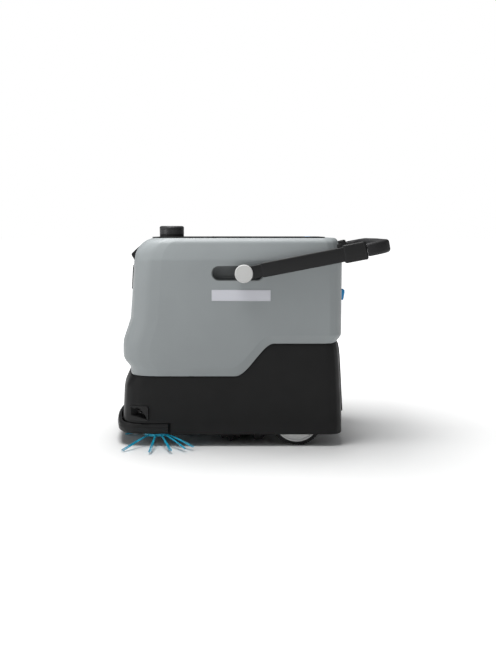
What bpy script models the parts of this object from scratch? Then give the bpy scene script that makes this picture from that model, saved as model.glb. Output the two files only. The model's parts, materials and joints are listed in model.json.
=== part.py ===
"""A compact commercial floor-cleaning robot, as an assembly of separate named pieces.

The robot drives towards -X. Its left side is at -Y, and the floor is at Z = 0. Units are metres.
Every piece hangs on one empty, which puts the middle of the whole machine's length at X = 0.
"""
import math

import bmesh
import bpy
from mathutils import Matrix, Vector

# ---- driving dimensions -------------------------------------------------------------------
CENTRE_X = 0.0504          # middle of the overall length, measured from the housing's own zero
RAISE = 0.0070             # height of the housing's own zero above the floor
GAP = 0.0004               # air between pieces that touch
WALL = 0.0035              # moulded wall of the housings

HALF_WIDTH = 0.230         # upper housing
BASE_HALF_WIDTH = 0.222    # lower housing
TOP_Z = 0.545              # flat top of the upper housing
BASE_BOTTOM_Z = 0.026      # lower edge of the lower housing, 33 mm above the floor
BUMPER_REACH = 0.0150      # how far the bumper stands ahead of the lower housing
BUMPER_WALL = 0.0040
BUMPER_STEP = 0.0080       # how far the lower housing's sides step in behind the bumper
BUMPER_END_X = -0.166
SEAM_FRONT_Z = 0.182       # joint between the housings, ahead of the ramp
SEAM_REAR_Z = 0.269        # the same joint, behind the ramp
RAMP = (0.012, 0.118)      # X where that joint starts and stops climbing
BAND = 0.022               # height of the undercut band along the joint
BAND_INSET = 0.008

PLATE_Z = (0.044, 0.048)   # chassis plate

WHEEL_X, WHEEL_R, WHEEL_OUT, WHEEL_IN = 0.177, 0.070, 0.205, 0.174
RIM_R = 0.0605
WHEEL_Z = WHEEL_R - RAISE
CASTER_AT = (-0.225, 0.0)  # swivel axis
CASTER_R = 0.0205
CASTER_Z = CASTER_R - RAISE
CASTER_TRAIL = 0.012

BRUSH_X, BRUSH_Y, BRUSH_Z, BRUSH_R = -0.197, 0.175, 0.024, 0.140
BRUSH_TILT = 2.0           # degrees, front tips lower
TUFT_ANGLES = (233, 266, 289, 306, 317)

ROLLER_Z, ROLLER_R, ROLLER_HALF = 0.031, 0.036, 0.164
PULLEY_Z = 0.105
DRIVE_PULLEY_R, DRIVEN_PULLEY_R = 0.010, 0.020

PIVOT = (0.0362, 0.454)    # X, Z of the handle's pivot
HANDLE_RISE = 10.9         # degrees above level when it rests on its stop
SLOT_FRONT, SLOT_REAR = -0.029, 0.070
SLOT_HALF = 0.0195
ARM_Y = (0.237, 0.259)

LIDAR_X, LIDAR_R = -0.169, 0.0344
BUTTON_X = 0.215
HINGE = (-0.0550, 0.5467)  # X, Z of the lid's hinge, inside the thickness of the lid

COLOURS = {
    "grey_shell": ((0.27, 0.295, 0.305), 0.5, 0.0),
    "black_shell": ((0.018, 0.018, 0.018), 0.5, 0.0),
    "dark_trim": ((0.028, 0.028, 0.030), 0.45, 0.0),
    "rubber": ((0.02, 0.02, 0.02), 0.8, 0.0),
    "tyre": ((0.016, 0.016, 0.016), 0.85, 0.0),
    "light_cap": ((0.56, 0.56, 0.55), 0.4, 0.0),
    "blue_trim": ((0.03, 0.21, 0.42), 0.4, 0.0),
    "blue_bristle": ((0.02, 0.36, 0.55), 0.5, 0.0),
    "black_glass": ((0.01, 0.01, 0.012), 0.1, 0.0),
    "aluminium": ((0.6, 0.6, 0.61), 0.35, 1.0),
    "steel": ((0.45, 0.45, 0.46), 0.3, 1.0),
    "brass": ((0.6, 0.42, 0.16), 0.3, 1.0),
    "tank": ((0.55, 0.6, 0.62), 0.4, 0.0),
}

# ---- scene helpers ------------------------------------------------------------------------


def clear_scene():
    for old in list(bpy.data.objects):
        bpy.data.objects.remove(old)


def new_collection(name):
    made = bpy.data.collections.new(name)
    bpy.context.scene.collection.children.link(made)
    return made


def make_materials():
    made = {}
    for name, (colour, roughness, metallic) in COLOURS.items():
        material = bpy.data.materials.new(name)
        material.use_nodes = True
        shader = material.node_tree.nodes["Principled BSDF"]
        shader.inputs["Base Color"].default_value = (*colour, 1.0)
        shader.inputs["Roughness"].default_value = roughness
        shader.inputs["Metallic"].default_value = metallic
        made[name] = material
    return made


clear_scene()
PARTS = new_collection("floor_cleaning_robot")
CUTTERS = new_collection("cutters")
MATERIALS = make_materials()


def empty(name, location=(0, 0, 0), turn=(0, 0, 0), parent=None):
    made = bpy.data.objects.new(name, None)
    made.location = location
    made.rotation_euler = [math.radians(a) for a in turn]
    made.parent = parent
    PARTS.objects.link(made)
    return made


MACHINE = empty("machine", (-CENTRE_X, 0, RAISE))


def place(name, mesh, material, parent=None, bevel=0.0, location=(0, 0, 0), segments=2):
    """Puts a mesh in the scene as one named piece, smooth where it is round."""
    made = bpy.data.objects.new(name, mesh)
    made.location = location
    made.parent = parent or MACHINE
    PARTS.objects.link(made)
    mesh.materials.clear()
    mesh.materials.append(MATERIALS[material])
    mesh.shade_smooth()
    mesh.set_sharp_from_angle(angle=math.radians(35))
    if bevel:
        add_bevel(made, bevel, segments)
    return made


def add_bevel(obj, width, segments=2):
    modifier = obj.modifiers.new("rounded_edges", "BEVEL")
    modifier.width = width
    modifier.segments = segments
    modifier.limit_method = "ANGLE"
    modifier.angle_limit = math.radians(40)


def to_mesh(bm, name):
    bmesh.ops.recalc_face_normals(bm, faces=bm.faces)
    if bm.calc_volume(signed=True) < 0:
        bmesh.ops.reverse_faces(bm, faces=bm.faces)
    mesh = bpy.data.meshes.new(name)
    bm.to_mesh(mesh)
    bm.free()
    return mesh


def join_meshes(name, meshes):
    """Several closed solids in one mesh."""
    bm = bmesh.new()
    for mesh in meshes:
        bm.from_mesh(mesh)
    mesh = bpy.data.meshes.new(name)
    bm.to_mesh(mesh)
    bm.free()
    return mesh


def moved(mesh, matrix):
    copy = mesh.copy()
    copy.transform(matrix)
    if matrix.determinant() < 0:
        copy.flip_normals()
    return copy


MIRROR_Y = Matrix.Diagonal((1, -1, 1, 1))


def both_sides(mesh):
    """The mesh and its mirror image across the machine's middle plane, as one group."""
    return join_meshes(mesh.name, [mesh, moved(mesh, MIRROR_Y)])


def combine(target, mesh, operation):
    """Cuts a mesh from a piece, or joins it on. The mesh is in the piece's own frame."""
    tool = bpy.data.objects.new(target.name + "_tool", mesh)
    tool.parent = target
    tool.hide_render = True
    tool.display_type = "WIRE"
    CUTTERS.objects.link(tool)
    modifier = target.modifiers.new(operation.lower(), "BOOLEAN")
    modifier.operation = operation
    modifier.object = tool


def cut(target, *meshes):
    for mesh in meshes:
        combine(target, mesh, "DIFFERENCE")


def fuse(target, *meshes):
    for mesh in meshes:
        combine(target, mesh, "UNION")


# ---- shapes -------------------------------------------------------------------------------


def box(low, high, name="box"):
    low, high = Vector(low), Vector(high)
    bm = bmesh.new()
    bmesh.ops.create_cube(bm, size=1.0)
    bmesh.ops.scale(bm, vec=high - low, verts=bm.verts)
    bmesh.ops.translate(bm, vec=(low + high) / 2, verts=bm.verts)
    return to_mesh(bm, name)


def drum(radius, start, end, sides=32, end_radius=None, name="drum"):
    """A cylinder, or a cone, between two points."""
    start, end = Vector(start), Vector(end)
    axis = end - start
    bm = bmesh.new()
    bmesh.ops.create_cone(
        bm, cap_ends=True, segments=sides, depth=axis.length,
        radius1=radius, radius2=radius if end_radius is None else end_radius,
    )
    turn = axis.to_track_quat("Z", "Y").to_matrix().to_4x4()
    bm.transform(Matrix.Translation((start + end) / 2) @ turn)
    return to_mesh(bm, name)


def turned(profile, location=(0, 0, 0), axis="Z", sides=32, name="turned"):
    """A Screw of a profile of (radius, height) points that runs down its outer side."""
    bm = bmesh.new()
    verts = [bm.verts.new((r, 0, h)) for r, h in profile]
    for a, b in zip(verts, verts[1:]):
        bm.edges.new((a, b))
    if profile[0][0] > 0:
        bm.edges.new((verts[-1], verts[0]))
    outline = bpy.data.meshes.new(name)
    bm.to_mesh(outline)
    bm.free()
    holder = bpy.data.objects.new(name, outline)
    CUTTERS.objects.link(holder)
    modifier = holder.modifiers.new("turn", "SCREW")
    modifier.steps = modifier.render_steps = sides
    modifier.use_merge_vertices = True
    modifier.merge_threshold = 0.00005
    mesh = evaluated(holder)
    turns = {"Z": Matrix(), "Y": Matrix.Rotation(math.radians(-90), 4, "X"),
             "-Y": Matrix.Rotation(math.radians(90), 4, "X")}
    mesh.transform(Matrix.Translation(location) @ turns[axis])
    return mesh


def evaluated(obj):
    """The object's shape after its modifiers, welded, and the object removed."""
    graph = bpy.context.evaluated_depsgraph_get()
    mesh = bpy.data.meshes.new_from_object(obj.evaluated_get(graph))
    bm = bmesh.new()
    bm.from_mesh(mesh)
    bm.transform(obj.matrix_world)
    bmesh.ops.remove_doubles(bm, verts=bm.verts, dist=0.00002)
    bmesh.ops.dissolve_degenerate(bm, edges=bm.edges, dist=0.00001)
    name = obj.name
    bpy.data.objects.remove(obj)
    return to_mesh(bm, name)


def flat_solid(outline, thickness, holes=(), matrix=None, name="flat"):
    """A flat outline in XY with its holes, extruded to a thickness about Z = 0."""
    curve = bpy.data.curves.new(name, "CURVE")
    curve.dimensions = "2D"
    curve.fill_mode = "BOTH"
    curve.extrude = thickness / 2
    for loop in (outline, *holes):
        spline = curve.splines.new("POLY")
        spline.points.add(len(loop) - 1)
        for point, (x, y) in zip(spline.points, loop):
            point.co = (x, y, 0, 1)
        spline.use_cyclic_u = True
    holder = bpy.data.objects.new(name, curve)
    CUTTERS.objects.link(holder)
    bpy.context.view_layer.update()
    mesh = evaluated(holder)
    if matrix is not None:
        mesh.transform(matrix)
    return mesh


def tube(points, radius, sides=2, name="tube"):
    """A round bar along points, with filled ends."""
    curve = bpy.data.curves.new(name, "CURVE")
    curve.dimensions = "3D"
    curve.bevel_depth = radius
    curve.bevel_resolution = sides
    curve.use_fill_caps = True
    spline = curve.splines.new("POLY")
    spline.points.add(len(points) - 1)
    for point, co in zip(spline.points, points):
        point.co = (*co, 1)
    holder = bpy.data.objects.new(name, curve)
    CUTTERS.objects.link(holder)
    bpy.context.view_layer.update()
    return evaluated(holder)


def loft(rings, closed=True, caps=(False, False), name="loft"):
    """A skin through rings of points; each ring has the same number of points."""
    bm = bmesh.new()
    rows = [[bm.verts.new(p) for p in ring] for ring in rings]
    count = len(rings[0])
    for upper, lower in zip(rows, rows[1:]):
        for i in range(count if closed else count - 1):
            j = (i + 1) % count
            bm.faces.new((upper[i], lower[i], lower[j], upper[j]))
    for wanted, row in zip(caps, (rows[0], rows[-1])):
        if wanted:
            bm.faces.new(row)
    return to_mesh(bm, name)


def thicken(obj, thickness, offset=-1.0):
    modifier = obj.modifiers.new("wall", "SOLIDIFY")
    modifier.thickness = thickness
    modifier.offset = offset


def rounded_rect(width, height, radius, centre=(0, 0), steps=4):
    """The corners of a rectangle, rounded with arcs."""
    points = []
    for corner in range(4):
        sx, sy = ((1, 1), (-1, 1), (-1, -1), (1, -1))[corner]
        cx = centre[0] + sx * (width / 2 - radius)
        cy = centre[1] + sy * (height / 2 - radius)
        for i in range(steps + 1):
            a = math.radians(90 * (corner + i / steps))
            points.append((cx + radius * math.cos(a), cy + radius * math.sin(a)))
    return points


def circle(radius, centre=(0, 0), sides=32):
    return [(centre[0] + radius * math.cos(math.tau * i / sides),
             centre[1] + radius * math.sin(math.tau * i / sides)) for i in range(sides)]


def smooth_arc(centre, radius, start, end, steps):
    """Points on an arc, with angles in degrees."""
    angles = [math.radians(start + (end - start) * i / steps) for i in range(steps + 1)]
    return [(centre[0] + radius * math.cos(a), centre[1] + radius * math.sin(a)) for a in angles]


XZ = Matrix.Rotation(math.radians(90), 4, "X")   # turns a flat solid upright, facing -Y

# ---- outlines of the housings -------------------------------------------------------------
# Each table gives the housing's reach (front, rear, half width) by height, in millimetres.

UPPER_FRONT = ((545, -200), (541.5, -214), (533, -229), (521, -240.5), (505, -249), (482, -253),
               (450, -255), (394, -259), (327, -264.5), (300, -273.5), (272, -283.5),
               (258, -285.7), (229, -285.7), (221, -283), (204, -268), (184, -266))
UPPER_REAR = ((545, 279), (541.5, 283.5), (533, 286.5), (521, 289), (505, 292), (482, 295.5),
              (291, 295.5), (285, 294), (269, 281))
UPPER_WIDTH = ((545, 204), (541.5, 210), (536, 216), (510, 224), (488, 230))
BASE_FRONT = ((184, -267), (168, -275), (152, -281.7), (136, -284.4), (115, -286), (88, -288.4),
              (26, -288))
BASE_REAR = ((269, 285), (248, 289), (226, 291.5), (173, 294.7), (115, 298), (75, 300.3),
             (51, 299.5), (26, 298))
BASE_WIDTH = ((269, 220), (180, 222))
FRONT_CORNER = ((6, -31), (20, -15.5), (44, -4.5), (75, 0))
REAR_CORNER = ((-34, 0), (-16, -6), (-5, -21), (0, -45))
SIDE_X = (-60, 12, 32, 50, 65, 80, 95, 118, 225)


def table(rows, height):
    """The table's value at a height in metres, by straight lines between its rows."""
    height *= 1000
    if height >= rows[0][0]:
        return rows[0][1] / 1000
    for (z0, v0), (z1, v1) in zip(rows, rows[1:]):
        if height >= z1:
            return (v0 + (v1 - v0) * (z0 - height) / (z0 - z1)) / 1000
    return rows[-1][1] / 1000


def seam(x):
    """Height of the joint between the housings."""
    t = min(max((x - RAMP[0]) / (RAMP[1] - RAMP[0]), 0), 1)
    return SEAM_FRONT_Z + (SEAM_REAR_Z - SEAM_FRONT_Z) * t * t * (3 - 2 * t)


def half_outline(front, rear, width, bumper_end=()):
    """The half outline at one height, from the middle of the front round to the rear."""
    points = []
    for share in (0, 0.25, 0.5, 0.75, 1):
        points.append((front - 0.017 + 0.017 * share * share, 0.783 * width * share))
    for dx, dy in FRONT_CORNER:
        points.append((front + dx / 1000, width + dy / 1000))
    for x in bumper_end + SIDE_X:
        points.append((x / 1000, width))
    for dx, dy in REAR_CORNER:
        points.append((rear + dx / 1000, width + dy / 1000))
    for share in (0.8, 0.54, 0.27, 0):
        points.append((rear + 0.005 * (1 - share * share), (width - 0.045) * share))
    return points


def full_outline(half):
    return half + [(x, -y) for x, y in reversed(half[1:-1])]


def upper_outline(z, inset=0.0):
    width = table(UPPER_WIDTH, z) - inset
    return half_outline(table(UPPER_FRONT, z), table(UPPER_REAR, z), width)


def base_outline(z):
    width = table(BASE_WIDTH, z)
    return half_outline(table(BASE_FRONT, z), table(BASE_REAR, z), width, (-161, -159))


def ring(outline_at, heights):
    """A ring whose height differs from point to point: heights is a height for each X."""
    guess = outline_at(SEAM_REAR_Z)
    half = []
    for i, (x, _) in enumerate(guess):
        z = heights(x)
        px, py = outline_at(z)[i]
        half.append((px, py, z))
    return half + [(x, -y, z) for x, y, z in reversed(half[1:-1])]


def upper_skin():
    rings = []
    for z in (0.545, 0.541, 0.531, 0.510, 0.487, 0.400, 0.320):
        rings.append(ring(upper_outline, lambda x, z=z: z))

    def band_start(x):
        return seam(x + 0.010) + BAND

    for share in (0.42, 0.79, 0.87, 1.0):
        rings.append(ring(upper_outline,
                          lambda x, s=share: 0.320 + (band_start(x) - 0.320) * s))
    rings.append(ring(lambda z: upper_outline(z, BAND_INSET), lambda x: seam(x) + GAP))
    return loft(rings, caps=(True, False), name="top_shell")


def bumper_top(y):
    """Height of the bumper's upper edge, which falls a little towards the corners."""
    t = min(max((abs(y) - 0.120) / 0.100, 0), 1)
    return 0.061 - 0.005 * t * t * (3 - 2 * t)


def bumper_seat(x, y):
    """The lower housing's outline behind the bumper, whose sides step in."""
    if x > -0.160 or abs(y) < 0.150:
        return x, y
    return x, y - math.copysign(BUMPER_STEP, y)


def base_skin():
    rings = []
    for share in (0, 0.5, 1):
        rings.append(ring(base_outline,
                          lambda x, s=share: seam(x) - GAP + (0.136 - seam(x)) * s))
    lip = [(x, y, bumper_top(y)) for x, y in full_outline(base_outline(0.088))]
    seat = [(*bumper_seat(x, y), z - 0.001) for x, y, z in lip]
    foot = [(x, y, BASE_BOTTOM_Z) for x, y, z in seat]
    return loft(rings + [lip, seat, foot], name="base_shell")


def stadium(half_height, x0, x1, centre_z, steps=10):
    """A slot's outline: two half circles joined by straight sides."""
    right = smooth_arc((x1, centre_z), half_height, -90, 90, steps)
    left = smooth_arc((x0, centre_z), half_height, 90, 270, steps)
    return right + left


def slab_xz(outline, y0, y1, holes=(), name="slab"):
    """A flat solid whose outline lies in the XZ plane, from one Y to the other."""
    upright = Matrix.Translation((0, (y0 + y1) / 2, 0)) @ XZ
    return flat_solid(outline, y1 - y0, holes, upright, name)


# ---- upper housing ------------------------------------------------------------------------

LENS_WEDGE = ((-0.274, 0.501), (-0.246, 0.527), (-0.225, 0.505), (-0.258, 0.474))
WEDGE_CUT = ((-0.290, 0.5045), (-0.2462, 0.5278), (-0.2235, 0.5052), (-0.2581, 0.4728),
             (-0.275, 0.4728))

top_shell = place("top_shell", upper_skin(), "grey_shell")
thicken(top_shell, WALL)
cut(
    top_shell,
    box((-0.045, -0.105, 0.53), (0.045, 0.105, 0.56), "filling_mouth"),
    box((-0.0585, -0.1190, 0.5436), (-0.0510, 0.1190, 0.56), "hinge_groove"),
    drum(0.0096, (BUTTON_X, 0, 0.53), (BUTTON_X, 0, 0.56), 24, name="button_hole"),
    drum(0.020, (LIDAR_X, 0, 0.53), (LIDAR_X, 0, 0.56), name="lidar_hole"),
    both_sides(slab_xz(stadium(SLOT_HALF, SLOT_FRONT, SLOT_REAR, PIVOT[1]), 0.195, 0.245)),
    slab_xz(WEDGE_CUT, -0.0955, 0.0955, name="window"),
    box((0.270, -0.140, 0.292), (0.310, 0.140, 0.478), "drawer_mouth"),
)

# ---- lower housing ------------------------------------------------------------------------

SENSOR_X, SENSOR_Z = (-0.270, -0.214), (0.062, 0.102)

base_shell = place("base_shell", base_skin(), "black_shell")
thicken(base_shell, WALL)
SENSOR_TURN = -17.8        # degrees the left corner sensor turns towards the front


def at_corner(mesh):
    """Moves a mesh built about zero to the left front corner, facing outwards."""
    turn = Matrix.Rotation(math.radians(SENSOR_TURN), 4, "Z")
    mesh.transform(Matrix.Translation((-0.2415, -0.2125, 0.082)) @ turn)
    return mesh


BOSSES = (
    ((-0.129, 0.192, 0.0484), (-0.111, 0.2205, 0.062)),
    ((0.051, 0.192, 0.0484), (0.069, 0.2205, 0.062)),
    ((0.259, 0.061, 0.0484), (0.3020, 0.079, 0.062)),
    ((-0.3012, 0.059, 0.0484), (-0.243, 0.077, 0.062)),
)
fuse(base_shell, *[both_sides(box(low, high, "boss")) for low, high in BOSSES])
cut(
    base_shell,
    both_sides(at_corner(slab_xz(rounded_rect(0.054, 0.040, 0.006), -0.02, 0.02))),
    both_sides(box((-0.320, 0.056, 0.020), (-0.280, 0.084, 0.0435), "bumper_lug_notch")),
)

# ---- bumper -------------------------------------------------------------------------------


def bumper_reach(x):
    """How far ahead of the lower housing the bumper runs: fully in front, not at all at its ends."""
    t = min(max((-0.200 - x) / 0.070, 0), 1)
    return BUMPER_REACH * t * t * (3 - 2 * t)


def bumper_mesh():
    half = [p for p in base_outline(0.060) if p[0] < -0.200]
    half.append((BUMPER_END_X, BASE_HALF_WIDTH))
    path = [(x, -y) for x, y in reversed(half[1:])] + half
    path = [(x - bumper_reach(x), y) for x, y in path]
    rings = []
    for i, (x, y) in enumerate(path):
        before = Vector(path[max(i - 1, 0)])
        after = Vector(path[min(i + 1, len(path) - 1)])
        along = (after - before).normalized()
        out = Vector((-along.y, along.x))
        if out.dot(Vector((x + 0.15, y))) < 0:
            out = -out
        top = bumper_top(y) - 0.0018
        middle = (top + BASE_BOTTOM_Z) / 2
        round_over = 0.0015 + 0.0045 * bumper_reach(x) / BUMPER_REACH
        inner = -BUMPER_WALL - 0.0020 * bumper_reach(x) / BUMPER_REACH
        section = ((inner, top), (-round_over, top), (0.0, top - 0.008), (0.0010, middle),
                   (0.0, 0.033), (-round_over, BASE_BOTTOM_Z), (inner, BASE_BOTTOM_Z))
        rings.append([(x + out.x * o, y + out.y * o, z) for o, z in section])
    return loft(rings, caps=(True, True), name="front_bumper")


bumper = place("front_bumper", bumper_mesh(), "dark_trim")
fuse(bumper, both_sides(box((-0.3150, 0.058, 0.0365), (-0.262, 0.082, 0.0425), "lug")))

# ---- chassis ------------------------------------------------------------------------------


def plate_outline():
    """The chassis plate's edge, with a notch round each drive wheel."""
    front = smooth_arc((-0.205, 0.151), 0.057, 180, 90, 4)
    rear = smooth_arc((0.225, 0.153), 0.055, 90, 0, 4)
    half = front + [(0.098, 0.208), (0.098, 0.158), (0.256, 0.158), (0.256, 0.196)] + rear[2:]
    return half + [(x, -y) for x, y in reversed(half)]


def roller_opening():
    right = [(-0.050, -0.182), (0.050, -0.182), (0.050, 0.182), (0.025, 0.182), (0.025, 0.196),
             (-0.025, 0.196), (-0.025, 0.182), (-0.050, 0.182)]
    return right


plate_holes = [roller_opening(), circle(0.019, (0.092, 0), 20), circle(0.0066, CASTER_AT, 16)]
plate_holes += [circle(0.014, (BRUSH_X, side * BRUSH_Y), 16) for side in (-1, 1)]
plate_middle = (PLATE_Z[0] + PLATE_Z[1]) / 2
chassis = flat_solid(plate_outline(), PLATE_Z[1] - PLATE_Z[0], plate_holes,
                     Matrix.Translation((0, 0, plate_middle)), "chassis_plate")
chassis_plate = place("chassis_plate", chassis, "steel")


# The shelf that carries the recovery drawer is welded to the plate.
SHELF_TOP = 0.2920
fuse(
    chassis_plate,
    box((0.112, -0.200, SHELF_TOP - 0.004), (0.284, 0.200, SHELF_TOP), "shelf"),
    both_sides(box((0.130, 0.1215, 0.046), (0.236, 0.1255, SHELF_TOP - 0.002), "shelf_web")),
)

# ---- pieces on the outside of the housings ------------------------------------------------


def patch(table_of, shares, levels, inner, outer, half_width, front, name):
    """A plate that follows the front or the rear of a housing, between two offsets."""
    direction = -1 if front else 1
    rings = []
    for z in levels:
        reach = table(table_of, z)
        rows = []
        for offset in (outer, inner):
            line = []
            for share in shares:
                bow = -0.017 * (1 - share * share) if front else 0.005 * (1 - share * share)
                line.append((reach + bow + direction * offset, half_width * share, z))
            rows.append(line)
        rings.append(rows[0] + rows[1][::-1])
    return loft(rings, caps=(True, True), name=name)


def mirrored_shares(*shares):
    return [-s for s in reversed(shares) if s] + list(shares)


REAR_SPAN = BASE_HALF_WIDTH - 0.045 - 0.001
rear_levels = (0.261, 0.2027, 0.136, 0.088, 0.074)
rear_cover = patch(BASE_REAR, mirrored_shares(0, 0.27, 0.54, 0.80, 0.85), rear_levels,
                   0.0006, 0.0030, REAR_SPAN, False, "rear_cover")
place("rear_cover", rear_cover, "dark_trim")
strips = both_sides(box((0.3087, 0.006, 0.090), (0.3104, 0.022, 0.110), "strips"))
contacts = place("charge_contacts", box((0.3087, -0.020, 0.097), (0.3094, 0.020, 0.103)), "brass")
fuse(contacts, strips)

fascia = patch(UPPER_FRONT, mirrored_shares(0, 0.25, 0.50), (0.470, 0.438, 0.405),
               0.0007, 0.0027, 0.180, True, "front_fascia")
place("front_fascia", fascia, "black_glass", bevel=0.0008, segments=1)

camera_housing = slab_xz(LENS_WEDGE, -0.095, 0.095, name="camera_housing")
place("camera_housing", camera_housing, "black_shell", bevel=0.002)
FACE_TILT = math.degrees(math.atan2(0.016, 0.027))
lens_frame = empty("camera_face", (-0.266, 0, 0.4875), (0, 90 - FACE_TILT, 0), MACHINE)
glass = flat_solid(rounded_rect(0.016, 0.110, 0.006), 0.0018,
                   matrix=Matrix.Translation((0, 0, -0.0014)), name="camera_window")
window = place("camera_window", glass, "black_glass", lens_frame)
fuse(window, both_sides(drum(0.0062, (0, 0.030, -0.0010), (0, 0.030, -0.0038), 24, 0.0050)))

cup = at_corner(slab_xz(rounded_rect(0.0532, 0.0392, 0.0056), -0.0065, 0.016))
HORN = ((-0.019, -0.012), (0.020, -0.006), (-0.008, 0.014))
throat = [(x * 0.35, y * 0.35) for x, y in HORN]
horn = loft([[(x, -0.0075, z) for x, z in HORN], [(x, 0.010, z) for x, z in throat]],
            caps=(True, True), name="horn")
horn = at_corner(horn)
for side, flip in (("left", Matrix()), ("right", MIRROR_Y)):
    sensor = place("corner_sensor_" + side, moved(cup, flip), "dark_trim")
    cut(sensor, moved(horn, flip))

top_outline = rounded_rect(0.467, 0.300, 0.030, (0.0215, 0))
lid_gap = rounded_rect(0.116, 0.236, 0.0012)
panel = flat_solid(top_outline, 0.0026,
                   [lid_gap, circle(0.0095, (BUTTON_X, 0), 24)],
                   Matrix.Translation((0, 0, 0.5467)), "top_panel")
top_panel = place("top_panel", panel, "dark_trim")
cut(top_panel, drum(0.0008, (HINGE[0], -0.1225, HINGE[1]), (HINGE[0], 0.1225, HINGE[1]), 12))
pin = drum(0.0006, (HINGE[0], -0.1220, HINGE[1]), (HINGE[0], 0.1220, HINGE[1]), 12)
place("hinge_pin", pin, "steel")

lid_axis = empty("lid_axis", (HINGE[0], 0, HINGE[1]), parent=MACHINE)
lid_mesh = flat_solid(rounded_rect(0.1120, 0.234, 0.0015, (0.0541, 0)), 0.0028,
                      (), Matrix.Translation((0, 0, 0.5469 - HINGE[1])), "tank_lid")
tank_lid = place("tank_lid", lid_mesh, "dark_trim", lid_axis)
fuse(tank_lid, drum(0.0021, (0, -0.1166, 0), (0, 0.1166, 0), 16, name="knuckle"))
cut(tank_lid, drum(0.0008, (0, -0.120, 0), (0, 0.120, 0), 12, name="bore"))

button = turned(((0, 0.0034), (0.0082, 0.0034), (0.009, 0.0028), (0.009, 0), (0, 0)), sides=24)
place("power_button", button, "blue_trim", location=(BUTTON_X, 0, 0.5450))

lidar_base = turned(((0, 0.5540), (LIDAR_R - 0.0012, 0.5540), (LIDAR_R - 0.0004, 0.5530),
                     (LIDAR_R - 0.0004, 0.5470), (0, 0.5470)), sides=24)
lidar_base.transform(Matrix.Translation((LIDAR_X, 0, 0)))
fuse(top_panel, lidar_base)
lidar_head = turned(((0, 0.0234), (0.029, 0.0234), (0.0325, 0.0222), (LIDAR_R, 0.0190),
                     (LIDAR_R, 0.0136), (0.0322, 0.0130), (0.0322, 0.0062), (LIDAR_R, 0.0056),
                     (LIDAR_R, 0), (0, 0)), sides=26)
place("lidar_head", lidar_head, "black_glass", location=(LIDAR_X, 0, 0.5546))

# ---- drive wheels -------------------------------------------------------------------------

tyre_profile = ((WHEEL_R - 0.0015, 0.0), (WHEEL_R, 0.003), (WHEEL_R, 0.032),
                (RIM_R + 0.0006, 0.032), (RIM_R + 0.0006, 0.0))
disc_profile = ((0.0082, 0.0), (0.044, 0.0), (0.048, 0.004), (0.055, 0.004), (0.057, 0.0005),
                (RIM_R, 0.0005), (RIM_R, 0.030), (0.0082, 0.030))
for side, sign in (("left", -1), ("right", 1)):
    axle_end = (WHEEL_X, sign * WHEEL_OUT, WHEEL_Z)
    inward = "Y" if sign < 0 else "-Y"
    tyre = turned(tyre_profile[::-1], axis=inward, sides=36)
    place("tyre_" + side, tyre, "tyre", location=axle_end)
    disc = turned(disc_profile[::-1], axis=inward, sides=24)
    place("wheel_disc_" + side, disc, "light_cap", location=axle_end)

web = slab_xz(((0.118, 0.0484), (0.236, 0.0484), (0.225, 0.092), (0.200, 0.110),
               (0.154, 0.110), (0.129, 0.092)), 0.160, 0.168)
foot = box((0.118, 0.128, 0.0484), (0.236, 0.164, 0.0534), "foot")
axle = drum(0.0078, (WHEEL_X, 0.164, WHEEL_Z), (WHEEL_X, 0.2042, WHEEL_Z), 20)
for side, flip in (("left", MIRROR_Y), ("right", Matrix())):
    bracket = place("wheel_bracket_" + side, moved(web, flip), "steel")
    fuse(bracket, moved(foot, flip), moved(axle, flip))

# ---- caster -------------------------------------------------------------------------------

swivel = empty("caster_axis", (*CASTER_AT, 0), parent=MACHINE)
crown = turned(((0, 0.0520), (0.009, 0.0520), (0.009, 0.0485), (0.0060, 0.0485),
                (0.0060, 0.0428), (0.015, 0.0428), (0.015, 0.0385), (0, 0.0385)), sides=18)
fork = place("caster_fork", crown, "steel", swivel)
cheek = slab_xz(((-0.013, 0.0405), (0.013, 0.0405), (0.0195, 0.0165), (0.0195, 0.0100),
                 (0.016, 0.0065), (0.009, 0.0065), (0.005, 0.0100)), 0.0082, 0.0112)
fuse(fork, box((-0.0125, -0.0112, 0.0390), (0.0125, 0.0112, 0.0415), "yoke"),
     both_sides(cheek), drum(0.0028, (CASTER_TRAIL, -0.010, CASTER_Z),
                             (CASTER_TRAIL, 0.010, CASTER_Z), 16))
roll = turned(((0.0032, 0.0072), (0.0185, 0.0072), (CASTER_R, 0.0050), (CASTER_R, -0.0050),
               (0.0185, -0.0072), (0.0032, -0.0072)), axis="Y", sides=22)
place("caster_wheel", roll, "rubber", swivel, location=(CASTER_TRAIL, 0, CASTER_Z))

# ---- side brushes -------------------------------------------------------------------------

hub_profile = ((0, 0.0290), (0.0050, 0.0290), (0.0050, 0.0050), (0.020, 0.0050), (0.034, 0.0),
               (0.034, -0.0055), (0.026, -0.0100), (0, -0.0100))
motor_profile = ((0, 0.101), (0.020, 0.101), (0.020, 0.051), (0.026, 0.051),
                 (0.026, 0.0262), (0.0075, 0.0262), (0.0075, 0.0315), (0, 0.0315))


def tuft(angle):
    """One bundle of bristles, from the hub's rim outwards and down to the floor."""
    turn = math.radians(angle)
    path = ((0.0350, -0.0025), (0.080, -0.0110), (BRUSH_R, -0.0252))
    return tube([(r * math.cos(turn), r * math.sin(turn), z) for r, z in path], 0.0021, 1)


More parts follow.
